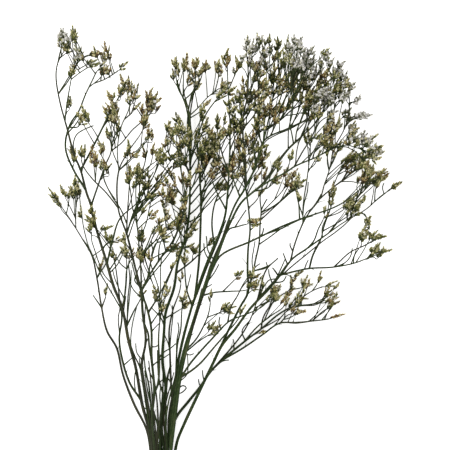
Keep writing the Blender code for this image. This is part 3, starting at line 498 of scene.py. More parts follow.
STEM_8 = StemPlan(
    name="stem_8", radius=0.0016, neck=0.0176, crown=0.097, half_depth=0.012,
    route=[(165, 520), (169, 470), (175, 420), (181, 375), (189, 340), (197, 312), (207, 282),
           (217, 257), (224, 238), (232, 219), (241, 203), (252, 193), (268, 182), (285, 173),
           (294, 167), (315, 158), (333, 149), (346, 146), (358, 149), (372, 142)],
    branches=[
        [(211, 270), (221, 255), (251, 241), (280, 227), (300, 219), (318, 213), (332, 208),
         (345, 201), (352, 195), (363, 186), (374, 172)],
        [(180, 378), (191, 362), (214, 336), (230, 320), (245, 314), (262, 306), (275, 292)],
        [(182, 377), (190, 371), (200, 363), (213, 348), (225, 334), (237, 320), (246, 304)],
        [(252, 193), (264, 182), (275, 165), (288, 149), (300, 138), (312, 127), (320, 116),
         (327, 96)],
        [(287, 150), (288, 130), (292, 112), (291, 90), (294, 64)],
        [(294, 166), (302, 152), (309, 141), (315, 128), (319, 108)],
        [(294, 166), (296, 152), (299, 140), (306, 122), (308, 92), (310, 60)],
        [(320, 155), (330, 132), (333, 110), (332, 70)],
        [(333, 149), (343, 130), (348, 110), (346, 78)], [(343, 128), (352, 120), (369, 117)],
        [(341, 146), (348, 136), (358, 129)], [(360, 150), (370, 157), (383, 153)],
        [(362, 151), (360, 162), (365, 172)],
        [(226, 319), (231, 306), (237, 296), (241, 288), (248, 279), (254, 267)],
        [(347, 104), (352, 103), (359, 100)], [(300, 219), (298, 205), (296, 190)],
    ],
    bare=[[(222, 328), (219, 322), (220, 316)]],
    sprays=[
        (305, 58, 20, 14, 5), (294, 75, 12, 22, 4), (315, 72, 14, 22, 5), (335, 73, 18, 18, 5),
        (347, 96, 10, 22, 4), (320, 98, 14, 16, 4), (332, 128, 14, 20, 3), (310, 104, 10, 14, 2),
        (353, 131, 10, 8, 2), (366, 143, 20, 12, 4), (374, 155, 14, 12, 3), (347, 120, 8, 12, 2),
        (374, 178, 18, 12, 4), (274, 295, 8, 12, 2), (297, 181, 12, 12, 2), (296, 48, 10, 12, 4),
        (326, 60, 10, 10, 2), (340, 90, 12, 14, 2), (300, 100, 14, 14, 2),
    ],
    fine=[
        [(293, 144), (291, 134), (289.5, 127), (290, 117), (292, 106), (296, 92)],
        [(294, 142), (296, 132), (299, 124), (304, 112), (308, 98)],
        [(301, 139), (304, 130), (306, 121), (305, 112), (304, 100)],
        [(307, 133), (308, 122), (308, 110), (309, 98)],
        [(309.5, 157), (314, 152), (320, 147), (331, 146)],
        [(258, 195), (266, 189), (274, 183), (282, 177)],
        [(223, 232), (230, 228.5), (236, 227), (243, 225), (250, 223.5), (260, 221)],
        [(312, 127), (318, 118), (326, 110), (335, 100)],
        [(312, 130), (320, 122), (328, 117), (338, 112)],
        [(320, 116), (326, 104), (333, 94), (340, 84)],
        [(308, 92), (314, 82), (318, 72), (320, 62)], [(292, 100), (298, 88), (301, 76), (300, 62)],
        [(291, 90), (286, 80), (283, 68), (284, 54)], [(327, 100), (336, 92), (342, 82), (346, 72)],
        [(311, 141), (314, 139), (321, 134.5)], [(330, 110), (335, 104), (341, 100), (348, 97)],
        [(333, 149), (330, 140), (327, 130), (326, 120)],
        [(334, 148), (334, 138), (336, 128), (338, 118)],
        [(358, 149), (366, 152), (376, 150), (382, 146)],
        [(360, 150), (366, 156), (374, 160), (380, 158)], [(285, 173), (290, 160), (292, 150)],
        [(346, 121), (350, 118.5), (360, 117), (371, 116)],
        [(344, 121), (350, 121), (357, 119), (364, 116)],
        [(345, 107), (350, 104), (357, 101), (359, 97)],
    ],
    shoots=[
        [(188.5, 340), (192, 325), (196, 312), (199, 300), (202, 288)],
        [(235, 227), (240, 219), (246, 210)], [(209, 259), (208, 250), (207, 241), (206.5, 236)],
        [(205.5, 262), (205, 252), (204, 243)], [(343.5, 132), (343.5, 120), (344, 110)],
    ],
    side_stems=[
        [(189, 338), (198, 310), (207, 284), (215, 258), (223, 236), (230, 220)],
        [(253, 193), (263, 184), (272, 173), (280, 160.5), (289, 149), (300, 139)],
        [(268, 233), (280, 229), (290, 224), (300, 219.5), (312, 216)],
    ],
    fillers=[
        (301, 72, 14, 8, 4), (289, 62, 10, 8, 3), (322, 98, 8, 6, 3), (330, 138, 12, 22, 5),
        (308, 84, 14, 14, 4), (354, 140, 12, 8, 3), (330, 100, 14, 16, 4), (340, 78, 12, 12, 3),
        (318, 116, 12, 12, 3), (277, 167, 6, 8, 2),
    ],
)

STEM_9 = StemPlan(
    name="stem_9", radius=0.0019, neck=0.0053, crown=0.028, half_depth=0.009,
    route=[(170, 521), (173, 470), (177, 442), (183.7, 425), (201, 388), (213, 363), (222, 345),
           (235, 329), (250, 308.5), (269, 288.5), (281, 274), (292, 259), (306, 249), (320, 239),
           (338, 226), (352, 216), (360, 204)],
    branches=[
        [(290, 261), (294, 246), (301, 227), (308, 214), (320, 198), (324, 185), (329, 170),
         (331, 160), (333, 142)],
        [(329, 170), (327, 158), (324, 138)], [(330, 168), (335, 157), (341, 140)],
        [(319, 199), (332, 188), (345, 178), (357, 168), (367, 152)],
        [(332, 188), (338, 174), (342, 166), (351, 153)],
        [(350, 217), (356, 200), (364, 190), (373, 178)],
        [(346, 220), (366, 209), (382, 195), (402, 183)], [(374, 202), (375, 190), (380, 176)],
        [(360, 211), (367, 219), (368, 229), (362, 241)],
        [(281, 275), (308, 268.5), (333, 267), (354, 263), (366, 258.5), (378, 254), (392, 250)],
        [(334, 266), (350, 252), (363, 246), (374, 240), (386, 236)],
        [(308, 268), (313, 255), (320, 241), (324, 226), (331, 206), (334, 186)],
        [(368, 258), (373, 250), (378, 243)],
        [(219, 350), (228, 331), (240, 307), (248, 292), (247.5, 272), (248, 250), (250, 230),
         (248.5, 209), (246, 190), (244, 170), (243, 152)],
        [(248, 288), (253, 274), (255, 262), (259, 243), (260, 225), (261, 211), (260, 198),
         (263, 184), (268, 168)],
        [(261, 220), (280, 202), (290, 193), (299, 184)],
        [(261, 212), (270, 204), (283, 190), (290, 176)], [(250, 231), (256, 225), (260, 218)],
        [(256, 303), (261, 292), (262, 276)],
        [(302, 224), (303, 205), (307, 178), (310, 152), (311, 134)],
    ],
    bare=[[(273, 283), (281, 268), (285, 259)], [(259, 301), (266, 270), (278, 258)]],
    sprays=[
        (357, 206, 18, 14, 4), (367, 222, 6, 14, 1), (376, 239, 12, 8, 2), (380, 253, 14, 10, 3),
        (364, 237, 8, 8, 2), (333, 194, 6, 16, 2), (331, 140, 14, 18, 3), (356, 163, 20, 12, 4),
        (368, 178, 14, 12, 3), (383, 178, 9, 10, 2), (258, 283, 12, 11, 3), (300, 184, 14, 8, 3),
        (236, 165, 12, 16, 3), (288, 178, 12, 8, 2), (310, 140, 9, 12, 2), (298, 274, 5, 8, 1),
    ],
    fine=[
        [(309, 171), (314, 165), (317.5, 158), (320, 150)],
        [(249, 209), (255, 202), (260, 195), (266, 187)],
        [(248, 195), (252, 186), (257, 178), (262, 171)],
        [(246, 190), (243, 178), (240, 168), (236, 158)], [(289, 194), (290.5, 188), (292, 180)],
        [(338, 174), (343, 172), (348, 169), (353, 163)],
        [(343, 180), (348, 172), (354, 167), (361, 160)],
        [(346, 177), (352, 171), (358, 168), (364, 165)],
        [(356, 200), (361, 190), (363, 180), (362, 170)],
        [(364, 190), (369, 184), (376, 182), (384, 180)],
        [(331, 168), (333, 159), (336, 154), (339, 150)],
        [(329, 170), (327, 162), (328, 154), (331, 146)],
        [(310, 251), (314, 240), (318, 229), (323, 219), (326, 206)],
        [(322, 237), (322, 228), (326, 218), (331, 206), (333, 194)],
        [(330, 219), (338, 213), (346, 208), (354, 203)],
        [(325, 232), (337, 223), (349, 215.5), (358, 211)],
        [(358, 212), (364, 214), (368, 221), (368.5, 229)],
        [(374, 201), (384, 194), (392, 187), (401, 182)],
    ],
    shoots=[
        [(202, 381), (203, 376), (202.5, 370)], [(251, 272), (252, 260), (253.5, 250), (255, 241)],
        [(260.5, 238), (262.5, 233), (263.5, 228)], [(261.5, 211), (264, 204), (267, 199)],
        [(254, 269), (257, 265.5), (260, 263.5)], [(276, 274), (274.5, 270), (272.5, 268)],
        [(281, 288), (283, 281), (286, 276)], [(291, 250), (290, 246), (290, 243)],
        [(266, 272), (267, 267), (266, 262)], [(268, 280), (269, 274), (268.5, 269)],
        [(381, 192), (382, 187), (383.5, 183)],
        [(337, 265.5), (345.5, 262), (350.5, 255.5), (352, 248)],
        [(352, 262), (354, 255.5), (358.5, 248.5)], [(263.5, 273), (268.5, 265.5), (277, 259)],
        [(276, 274), (274, 270), (272.5, 267.5)], [(285, 262), (284.5, 257), (283, 253)],
        [(262, 283), (269, 280), (275.5, 278.5), (283, 274)],
        [(262, 215), (270, 209), (280, 201), (286, 190), (291, 182)],
        [(262, 214), (275, 205), (290, 193), (304, 186)],
        [(302, 215), (298, 202), (296, 190), (296, 181)],
        [(302, 214), (304, 203), (307, 192), (308, 182)],
        [(259, 244), (269, 237.5), (280, 229.5), (288, 225)],
        [(283, 276), (292, 266), (303, 257), (314, 248), (324, 240), (334, 233), (345, 224),
         (352, 217)],
        [(308, 268), (311, 259), (315, 249), (320, 240)], [(305, 268.5), (306, 264), (308, 260)],
        [(301, 224), (306, 213), (312, 208), (317, 201), (321, 194)],
    ],
    side_stems=[[(252, 306), (264, 292), (278, 276.5), (288, 263), (300, 253), (312, 245)]],
    fillers=[
        (353, 160, 14, 12, 4), (376, 178, 20, 10, 5), (262, 164, 14, 10, 3), (366, 168, 12, 8, 3),
        (352, 207, 12, 10, 3),
    ],
    side_spikes=(0, 1, 1, 2),
)

STEM_10 = StemPlan(
    name="stem_10", radius=0.0015, neck=0.0012, crown=0.0065, half_depth=0.008,
    route=[(172, 519), (171, 470), (172, 430), (177, 416), (188, 402), (200, 387), (211, 371),
           (221, 361), (247.6, 339), (261, 329), (279, 314), (292, 307), (317, 303), (328, 296),
           (339, 283)],
    branches=[
        [(222, 360), (243, 348), (262, 335), (280, 323), (297, 323), (312, 321), (328, 319),
         (345, 314)],
        [(216, 366), (240, 337), (250, 320), (256, 304), (262, 288)],
        [(244, 342), (258, 326), (272, 315), (284, 306), (286, 292)],
        [(261, 329), (263, 318), (270, 306), (280, 296), (290, 289), (291, 276)],
        [(294, 306), (303, 297), (312, 291), (322, 287), (335, 286)],
        [(312, 291), (317, 284), (321, 270)], [(311, 321), (322, 312), (329, 307), (335, 297)],
        [(286, 311), (296, 304), (302, 293)], [(280, 323), (288, 315), (306, 311)],
        [(270, 306), (272, 298), (271, 287)], [(300, 306), (302, 294), (304, 281)],
    ],
    bare=[[(245, 341), (242, 331), (250, 320)], [(215, 367), (223, 361), (229, 360)]],
    sprays=[
        (334, 305, 8, 12, 2), (329, 296, 12, 9, 3), (331, 284, 12, 5, 1), (308, 285, 12, 8, 3),
        (294, 281, 8, 7, 1), (275, 298, 7, 11, 2), (290, 293, 6, 9, 1), (287, 305, 8, 12, 3),
        (301, 302, 18, 10, 4), (296, 314, 14, 5, 2), (335, 317, 12, 4, 1),
    ],
    fine=[
        [(272, 298), (277, 292), (281, 285)], [(296, 304), (300, 300), (308, 299)],
        [(247, 339), (256, 334), (266, 331)], [(283, 319), (289, 318), (297, 314), (306, 310)],
        [(313, 306), (320, 300), (326, 296), (332, 290)],
        [(293, 292), (300, 288), (306, 285.5), (313, 284)],
        [(322, 318), (328, 312), (332, 307), (334, 298)],
    ],
    shoots=[
        [(200, 387), (199, 383), (198.5, 379)], [(233, 350), (234, 344), (233, 339)],
        [(256, 309), (270, 300), (275, 297)],
        [(262, 330), (280, 318), (287, 311), (300, 306), (315, 305), (325, 300)],
        [(283, 323), (300, 322), (320, 320)], [(265, 322), (268, 312), (272, 304)],
    ],
    fillers=[(329, 306, 10, 8, 2), (334, 299, 8, 8, 1)],
    fullness=0.8, side_spikes=(0, 0, 0, 1),
)

STEM_PLANS = [STEM_1, STEM_2, STEM_3, STEM_4, STEM_5,
              STEM_6, STEM_7, STEM_8, STEM_9, STEM_10]


@dataclass(frozen=True)
class BloomZone:
    """A part of the crown whose spikes share a look.

    The amounts, 0 to 1, are how green, how brown, how frosted and how open its florets are.
    """

    column: float
    row: float
    reach: float
    green: float
    brown: float
    frost: float
    open: float

    def pull(self, point: Point) -> float:
        """How strongly the zone acts on a point of the sheet, 0 to 1."""
        away = math.hypot(point[0] - self.column, point[1] - self.row) / self.reach
        return math.exp(-away * away)


BLOOM_ZONES = [BloomZone(*row) for row in (
    (65, 36, 7, 0.3, 0.1, 0.9, 0.8), (76, 36, 8, 0.8, 0.2, 0.1, 0.5),
    (82, 56, 10, 0.5, 0.3, 0.5, 0.6), (95, 54, 8, 0.3, 0.7, 0.1, 0.5),
    (110, 55, 8, 0.1, 0.8, 0.4, 0.9), (105, 64, 7, 0.7, 0.1, 0.4, 0.7),
    (112, 71, 7, 0.1, 0.9, 0.2, 0.8), (125, 66, 7, 0.8, 0.3, 0.0, 0.4),
    (123, 90, 9, 0.3, 0.6, 0.1, 0.8), (136, 92, 9, 0.5, 0.3, 0.4, 0.7),
    (154, 104, 11, 0.1, 0.75, 0.3, 1.0), (150, 112, 6, 0.3, 1.0, 0.0, 0.5),
    (116, 112, 8, 0.4, 0.6, 0.3, 0.5), (85, 117, 9, 0.45, 0.15, 0.0, 0.9),
    (86, 148, 9, 0.3, 0.2, 0.0, 0.95), (96, 160, 9, 0.3, 0.6, 0.0, 0.8),
    (107, 150, 9, 0.5, 0.4, 0.0, 0.8), (145, 150, 7, 0.3, 0.9, 0.0, 0.6),
    (150, 133, 9, 0.3, 0.7, 0.1, 0.8), (78, 192, 15, 0.35, 0.1, 0.1, 0.95),
    (177, 70, 9, 0.9, 0.2, 0.2, 0.4), (190, 72, 9, 0.4, 0.5, 0.2, 0.9),
    (203, 78, 10, 0.2, 0.6, 0.2, 1.0), (224, 74, 9, 0.3, 0.6, 0.3, 0.8),
    (240, 86, 10, 0.4, 0.6, 0.3, 0.8), (247, 50, 9, 0.4, 0.2, 0.9, 0.8),
    (262, 48, 8, 0.3, 0.2, 0.9, 0.9), (258, 60, 8, 0.3, 0.6, 0.6, 0.8),
    (269, 40, 5, 1.0, 0.1, 0.2, 0.2), (277, 44, 5, 1.0, 0.1, 0.3, 0.3),
    (286, 46, 5, 1.0, 0.1, 0.3, 0.3), (292, 54, 9, 0.3, 0.1, 1.0, 0.9),
    (306, 58, 11, 0.4, 0.1, 1.0, 0.9), (308, 71, 11, 0.3, 0.15, 1.0, 0.9),
    (322, 63, 9, 0.6, 0.2, 0.6, 0.7), (336, 68, 10, 0.4, 0.2, 0.9, 0.8),
    (325, 76, 6, 0.4, 0.9, 0.1, 0.6), (343, 73, 8, 0.4, 0.2, 0.9, 0.9),
    (294, 90, 9, 0.2, 0.5, 0.0, 1.0), (306, 96, 9, 0.6, 0.3, 0.1, 0.9),
    (321, 98, 9, 0.2, 0.1, 1.0, 1.0), (347, 102, 9, 0.4, 0.2, 0.9, 0.8),
    (361, 117, 10, 0.2, 0.2, 1.0, 1.0), (330, 122, 10, 0.4, 0.6, 0.2, 0.8),
    (333, 118, 6, 0.2, 0.4, 0.7, 0.9), (348, 122, 9, 0.6, 0.2, 0.6, 0.7),
    (272, 116, 10, 0.2, 0.55, 0.0, 1.0), (262, 98, 9, 0.4, 0.7, 0.1, 0.7),
    (275, 76, 9, 0.4, 0.3, 0.1, 1.0), (246, 108, 12, 0.9, 0.1, 0.2, 0.8),
    (229, 125, 12, 1.0, 0.2, 0.0, 0.6), (243, 138, 9, 0.3, 0.9, 0.0, 0.7),
    (263, 152, 10, 0.4, 0.25, 0.0, 1.0), (233, 164, 9, 0.4, 0.8, 0.1, 0.7),
    (262, 168, 9, 0.3, 0.7, 0.2, 0.8), (215, 138, 13, 0.6, 0.2, 0.0, 1.0),
    (185, 128, 14, 0.6, 0.15, 0.0, 1.0), (170, 138, 9, 0.4, 0.5, 0.0, 1.0),
    (190, 150, 12, 0.8, 0.1, 0.0, 0.9), (206, 168, 8, 0.3, 0.8, 0.2, 0.6),
    (150, 175, 12, 0.9, 0.3, 0.1, 0.5), (175, 185, 9, 0.2, 0.9, 0.1, 0.7),
    (165, 210, 12, 0.4, 0.7, 0.1, 0.8), (298, 172, 8, 0.1, 1.0, 0.2, 0.8),
    (302, 184, 8, 0.5, 0.3, 0.1, 1.0), (288, 178, 8, 0.4, 0.7, 0.1, 0.8),
    (365, 140, 11, 0.5, 0.3, 0.6, 0.9), (378, 156, 10, 0.7, 0.2, 0.3, 0.7),
    (355, 160, 11, 0.7, 0.4, 0.1, 0.7), (370, 178, 11, 0.7, 0.5, 0.0, 0.8),
    (395, 184, 9, 0.6, 0.4, 0.1, 0.6), (357, 206, 12, 0.3, 0.1, 0.0, 1.0),
    (367, 224, 9, 0.5, 0.15, 0.0, 0.9), (380, 250, 13, 0.4, 0.12, 0.0, 1.0),
    (255, 282, 11, 0.8, 0.2, 0.0, 0.8), (300, 295, 13, 0.5, 0.35, 0.1, 0.9),
    (332, 298, 12, 0.5, 0.3, 0.2, 0.9), (220, 318, 15, 0.3, 0.2, 0.0, 1.0),
    (170, 296, 11, 0.3, 0.3, 0.0, 0.95), (112, 245, 12, 0.3, 0.2, 0.0, 0.95),
    (338, 88, 8, 0.9, 0.2, 0.15, 0.7), (312, 86, 8, 0.5, 0.5, 0.0, 0.7),
    (328, 88, 7, 0.6, 0.4, 0.1, 0.7), (300, 82, 7, 0.3, 0.6, 0.2, 0.8),
    (282, 60, 8, 0.9, 0.3, 0.1, 0.6), (346, 90, 6, 0.5, 0.3, 0.4, 0.7),
    (330, 293, 7, 0.1, 1.0, 0.0, 0.6), (305, 286, 7, 0.3, 0.8, 0.1, 0.8),
    (336, 317, 8, 0.2, 0.9, 0.0, 0.7), (297, 315, 8, 0.2, 0.5, 0.1, 1.0),
    (286, 304, 6, 0.2, 0.6, 0.1, 0.9), (319, 278, 8, 0.8, 0.4, 0.0, 0.7),
    (117, 240, 7, 0.3, 0.8, 0.1, 0.7), (172, 190, 9, 0.4, 0.8, 0.1, 0.7),
    (204, 150, 10, 0.95, 0.1, 0.0, 0.7), (212, 138, 9, 0.9, 0.15, 0.0, 0.8),
    (190, 138, 9, 0.8, 0.25, 0.0, 0.8), (277, 166, 6, 1.0, 0.2, 0.0, 0.3),
)]

PLAIN_PULL = 0.12
PLAIN_LOOK = (0.6, 0.35, 0.05, 0.8)
LOOK_SPREAD = (0.4, 0.4, 0.35, 0.2)


@dataclass
class Bloom:
    """How one spike's florets look; each amount is 0 to 1."""

    green: float
    brown: float
    frost: float
    open: float

    @classmethod
    def at(cls, point: Point, draw: random.Random) -> "Bloom":
        """The look of a spike at a point of the sheet, with a seeded difference of its own.

        Args:
            point: The spike's (column, row) on the sheet.
            draw: The seeded source of differences.

        Returns:
            The zones' looks, weighed by their pull, with a plain olive where none reaches.
        """
        pulls = np.array([zone.pull(point) for zone in BLOOM_ZONES] + [PLAIN_PULL])
        looks = np.array([(z.green, z.brown, z.frost, z.open) for z in BLOOM_ZONES] + [PLAIN_LOOK])
        weights = pulls ** 2
        look = (looks * weights[:, None]).sum(axis=0) / weights.sum()
        return cls(*(nudged(v, (-s, s), draw) for v, s in zip(look, LOOK_SPREAD)))


class Line:
    """A smooth line in space, held as closely spaced points."""

    def __init__(self, points: np.ndarray) -> None:
        """Keep the points and the distance along the line at each.

        Args:
            points: The points, one row each.
        """
        self.points = np.asarray(points, dtype=float)
        steps = np.linalg.norm(np.diff(self.points, axis=0), axis=1)
        self.runs = np.concatenate([[0.0], np.cumsum(steps)])

    @classmethod
    def through(cls, points: list[np.ndarray], steps: int = 8) -> "Line":
        """A centripetal Catmull-Rom curve.

        Args:
            points: The points that the curve passes through.
            steps: How many points stand for each stretch.

        Returns:
            The smooth line.
        """
        points = [np.asarray(p, dtype=float) for p in points]
        padded = [2 * points[0] - points[1]] + points + [2 * points[-1] - points[-2]]
        curve = []
        for a, b, c, d in zip(padded, padded[1:], padded[2:], padded[3:]):
            t1 = math.sqrt(np.linalg.norm(b - a))
            t2 = t1 + math.sqrt(np.linalg.norm(c - b))
            t3 = t2 + math.sqrt(np.linalg.norm(d - c))
            t = np.linspace(t1, t2, steps, endpoint=False)[:, None]
            ab = (t1 - t) / t1 * a + t / t1 * b
            bc = (t2 - t) / (t2 - t1) * b + (t - t1) / (t2 - t1) * c
            cd = (t3 - t) / (t3 - t2) * c + (t - t2) / (t3 - t2) * d
            abc = (t2 - t) / t2 * ab + t / t2 * bc
            bcd = (t3 - t) / (t3 - t1) * bc + (t - t1) / (t3 - t1) * cd
            curve.append((t2 - t) / (t2 - t1) * abc + (t - t1) / (t2 - t1) * bcd)
        return cls(np.vstack(curve + [points[-1][None, :]]))

    @property
    def length(self) -> float:
        """The line's whole length."""
        return float(self.runs[-1])

    def at(self, distances: np.ndarray) -> np.ndarray:
        """The points at the given distances along the line."""
        places = [np.interp(distances, self.runs, self.points[:, k]) for k in range(3)]
        return np.stack(places, axis=1)

    def point_at(self, distance: float) -> np.ndarray:
        """The point at one distance along the line."""
        return self.at(np.array([distance]))[0]

    def part(self, start: float, end: float, spacing: float) -> "Line":
        """A stretch of the line.

        Args:
            start: Distance along the line where the stretch begins.
            end: Distance where it ends.
            spacing: The most that its points lie apart.

        Returns:
            The stretch, with evenly spaced points.
        """
        count = max(3, int(math.ceil((end - start) / spacing)) + 1)
        return Line(self.at(np.linspace(start, end, count)))

    def directions(self) -> np.ndarray:
        """Unit direction at each point."""
        return unit(np.gradient(self.points, axis=0))

    def above(self, lowest: float) -> "Line":
        """The same line, nowhere nearer the table than the lowest height."""
        return Line(np.maximum(self.points, (-math.inf, -math.inf, lowest)))


@dataclass
class Stalk:
    """A stalk's line and thickness; order is 0 for the main stem and grows to 3 for twiglets."""

    line: Line
    radii: np.ndarray
    order: int
    carries: bool = False


@dataclass
class Spike:
    """Where one floret spike stands, and how its florets look."""

    line: Line
    bloom: Bloom
    turn: float
    size: float
    filled: float


@dataclass(frozen=True)
class BunchForm:
    """How the bunch opens from its neck into its crown, and the layers that its stems keep."""

    neck: Point = (162.0, 452.0)
    fan_length: float = 0.396
    fan_reach: float = 1.25
    least_opened: float = 0.05

    def opened(self, plan: np.ndarray) -> float:
        """How far the bunch has opened.

        Args:
            plan: A plan position.

        Returns:
            The share, 0 at the neck and about 1 in the crown.
        """
        start = SHEET.plan(self.neck)
        reach = np.linalg.norm(plan - start) if plan[1] > start[1] else 0.0
        return self.fan_reach * math.tanh(reach / self.fan_length)

    def height(self, stem: StemPlan, plan: np.ndarray, deviation: float) -> float:
        """Height of a stem's layer above a plan position.

        Args:
            stem: The stem whose layer it is.
            plan: The plan position.
            deviation: Where across the layer, -1 to 1.

        Returns:
            The height above the table.
        """
        opened = self.opened(plan)
        middle = stem.neck + (stem.crown - stem.neck) * opened
        return middle + deviation * stem.half_depth * opened

    def deviation(self, stem: StemPlan, point: np.ndarray) -> float:
        """Where a point lies across its stem's layer.

        Args:
            stem: The stem whose layer it is.
            point: The point in space.

        Returns:
            -1 at the layer's underside to 1 at its top, and 0 where it is too thin to tell.
        """
        opened = self.opened(point[:2])
        if opened < self.least_opened:
            return 0.0
        middle = stem.neck + (stem.crown - stem.neck) * opened
        return float(np.clip((point[2] - middle) / (stem.half_depth * opened), -1.0, 1.0))


@dataclass(frozen=True)
class SideSpikeForm:
    """How the short spikes that feather a spike's foot leave it; a range is least and most."""

    least_open: float = 0.4
    lean: Range = (0.2, 0.45)
    open_lean: float = 0.28
    rise: Range = (-0.3, 0.3)
    length: Range = (0.45, 0.62)
    first_place: float = 0.04
    next_place: float = 0.14
    knee: float = 0.35
    beyond_knee: float = 0.7
    onward: float = 0.75
    back: float = 0.4
    turn: Range = (-0.6, 0.6)
    size: Range = (0.8, 1.0)
    filled: float = 0.85


@dataclass(frozen=True)
class ShootForm:
    """How the short bare shoots stand along the thicker stalks; a range is least and most."""

    least_stalk: float = 0.09
    first_place: Range = (0.18, 0.3)
    above_neck: float = 0.1
    last_place: float = 0.85
    apart: Range = (0.035, 0.08)
    lean: Range = (0.35, 0.7)
    length: Range = (0.005, 0.013)
    lift: Range = (-0.001, 0.002)
    bow: float = 0.0006
    probe: float = 0.002
    radii: Range = (0.00042, 0.0002)


@dataclass
class StemGrower:
    """Grows one stem's stalks and spikes from its plan; a range is least and most."""

    plan: StemPlan
    solid_draw: random.Random
    form: BunchForm = field(default_factory=BunchForm)
    side_spike: SideSpikeForm = field(default_factory=SideSpikeForm)
    shoot: ShootForm = field(default_factory=ShootForm)
    stem_sway: float = 0.4
    stem_sway_turn: float = 1.1
    stem_swell: float = 1.2
    stem_taper: float = 0.65
    twig_radius: float = 0.00068
    twiglet_radius: float = 0.00052
    branch_radius_per_length: float = 0.0056
    thickest_branch: float = 0.0014
    thickest_side_stem: float = 0.0015
    thickest_fine: float = 0.0009
    thickest_shoot: float = 0.00078
    share_of_parent: float = 0.85
    late_taper: float = 1.8
    golden_share: float = 0.618034
    branch_start: float = 0.31
    fine_start: float = 0.17
    bare_depth: float = 0.4
    side_stem_depth: float = 0.3
    shoot_depth: float = 0.5
    spike_length: float = 0.0170
    spike_turn: Range = (-0.5, 0.5)
    spike_filled: Range = (0.62, 0.97)
    spike_size: Range = (0.92, 1.12)
    least_stalk_share: float = 0.3
    spray_share: float = 0.45
    spray_steps: Point = (0.7549, 0.5698)
    spray_depth: Range = (-0.9, 0.9)
    twig_spacing: float = 0.0035
    twig_bow: float = 0.1
    twig_slant: float = 0.7
    long_twig: float = 0.016
    widest_gap: float = 0.008
    spike_sway: float = math.radians(24)
    lowest_axis: float = 0.0006
    stalk_points: float = 0.003
    twig_points: float = 0.0025
    spike_points: float = 0.0012
    stalks: list[Stalk] = field(default_factory=list)
    spikes: list[Spike] = field(default_factory=list)

    def __post_init__(self) -> None:
        """Seed the stem's own differences from its name."""
        self.draw = random.Random(self.plan.name)

    def grow(self) -> None:
        """Grow the main stem, branches, twigs, sprays and short side shoots, in that order."""
        plan, draw = self.plan, self.draw
        self._main_stem()
        for k, route in enumerate(plan.branches):
            self._branch(route, self._depth(k, self.branch_start), True)
        for k, route in enumerate(plan.bare):
            self._branch(route, self.bare_depth * (-1) ** k, False)
        counts = [max(1, round(self.spray_share * spray[4])) for spray in plan.sprays]
        for spray, count in zip(plan.sprays, counts):
            self._spray(spray, 0, count, self.solid_draw)
        for k, route in enumerate(plan.side_stems):
            depth = self.side_stem_depth * (-1) ** k
            self._branch(route, depth, False, self.thickest_side_stem)
        for k, route in enumerate(plan.fine):
            self._branch(route, self._depth(k, self.fine_start), True, self.thickest_fine)
        for k, route in enumerate(plan.shoots):
            self._branch(route, self.shoot_depth * (-1) ** k, False, self.thickest_shoot)
        for spray, count in zip(plan.sprays, counts):
            self._spray(spray, count, round(plan.fullness * spray[4]), draw, self.long_twig)
        for spray in plan.fillers:
            self._spray(spray, 0, spray[4], draw, self.long_twig)
        self._side_shoots()

    def _depth(self, k: int, start: float) -> float:
        """Where across its layer, -1 to 1, the tip of the branch numbered k lies."""
        return 2.0 * ((start + self.golden_share * k) % 1.0) - 1.0

    def _main_stem(self) -> None:
        """The main stem, tapered, and the spike at its tip."""
        route = []
        for k, point in enumerate(self.plan.route):
            plan = SHEET.plan(point)
            sway = self.stem_sway * math.sin(self.stem_sway_turn * k)
            route.append(np.append(plan, self.form.height(self.plan, plan, sway)))
        whole = Line.through(route).above(self.lowest_axis)
        line = whole.part(0.0, whole.length - self.spike_length, self.stalk_points)
        shares = line.runs / line.length
        swelling = self.stem_swell * shares * (1.0 - shares)
        radii = self.plan.radius * (1.0 + swelling - self.stem_taper * shares)
        self.stalks.append(Stalk(line, radii, 0, True))
        self._head(whole.part(whole.length - self.spike_length, whole.length, self.spike_points))

    def _nearest(self, plan: np.ndarray) -> tuple[float, np.ndarray, float]:
        """The nearest place on a stalk that carries others.

        Args:
            plan: A plan position.

        Returns:
            The distance in plan, the point on the stalk and the stalk's radius there.
        """
        best = (math.inf, np.zeros(3), 0.0)
        for stalk in self.stalks:
            if not stalk.carries:
                continue
            gaps = np.linalg.norm(stalk.line.points[:, :2] - plan, axis=1)
            k = int(np.argmin(gaps))
            if gaps[k] < best[0] - 1e-6:
                best = (float(gaps[k]), stalk.line.points[k], float(stalk.radii[k]))
        return best

    def _branch(self, route: Route, depth: float, spiked: bool, thickest: float = 0.0) -> None:
        """A branch from what carries it to its tip.

        Args:
            route: Its points on the sheet.
            depth: Where across the layer its tip lies, -1 to 1.
            spiked: Whether it ends in a spike.
            thickest: The most that its radius may be, or 0 for that of a branch.
        """
        plans = [SHEET.plan(p) for p in route]
        _, foot, parent = self._nearest(plans[0])
        plans[0] = foot[:2]
        runs = Line(np.array(plans)).runs
        start = self.form.deviation(self.plan, foot)
        points = [foot]
        for plan, run in zip(plans[1:], runs[1:]):
            across = start + (depth - start) * math.sin(0.5 * math.pi * run / runs[-1])
            points.append(np.append(plan, self.form.height(self.plan, plan, across)))
        whole = Line.through(points).above(self.lowest_axis)
        end = self._spike_foot(whole) if spiked else whole.length
        line = whole.part(0.0, end, self.stalk_points)
        thick = min(self.twig_radius + self.branch_radius_per_length * whole.length,
                    thickest or self.thickest_branch, self.share_of_parent * parent)
        thick = max(thick, self.twig_radius)
        shares = line.runs / line.length
        radii = thick + (self.twig_radius - thick) * shares ** self.late_taper
        self.stalks.append(Stalk(line, radii, 1, spiked))
        if spiked:
            self._head(whole.part(end, whole.length, self.spike_points))

    def _spike_foot(self, whole: Line) -> float:
        """How far along a twig the spike at its end begins."""
        return max(whole.length - self.spike_length, self.least_stalk_share * whole.length)

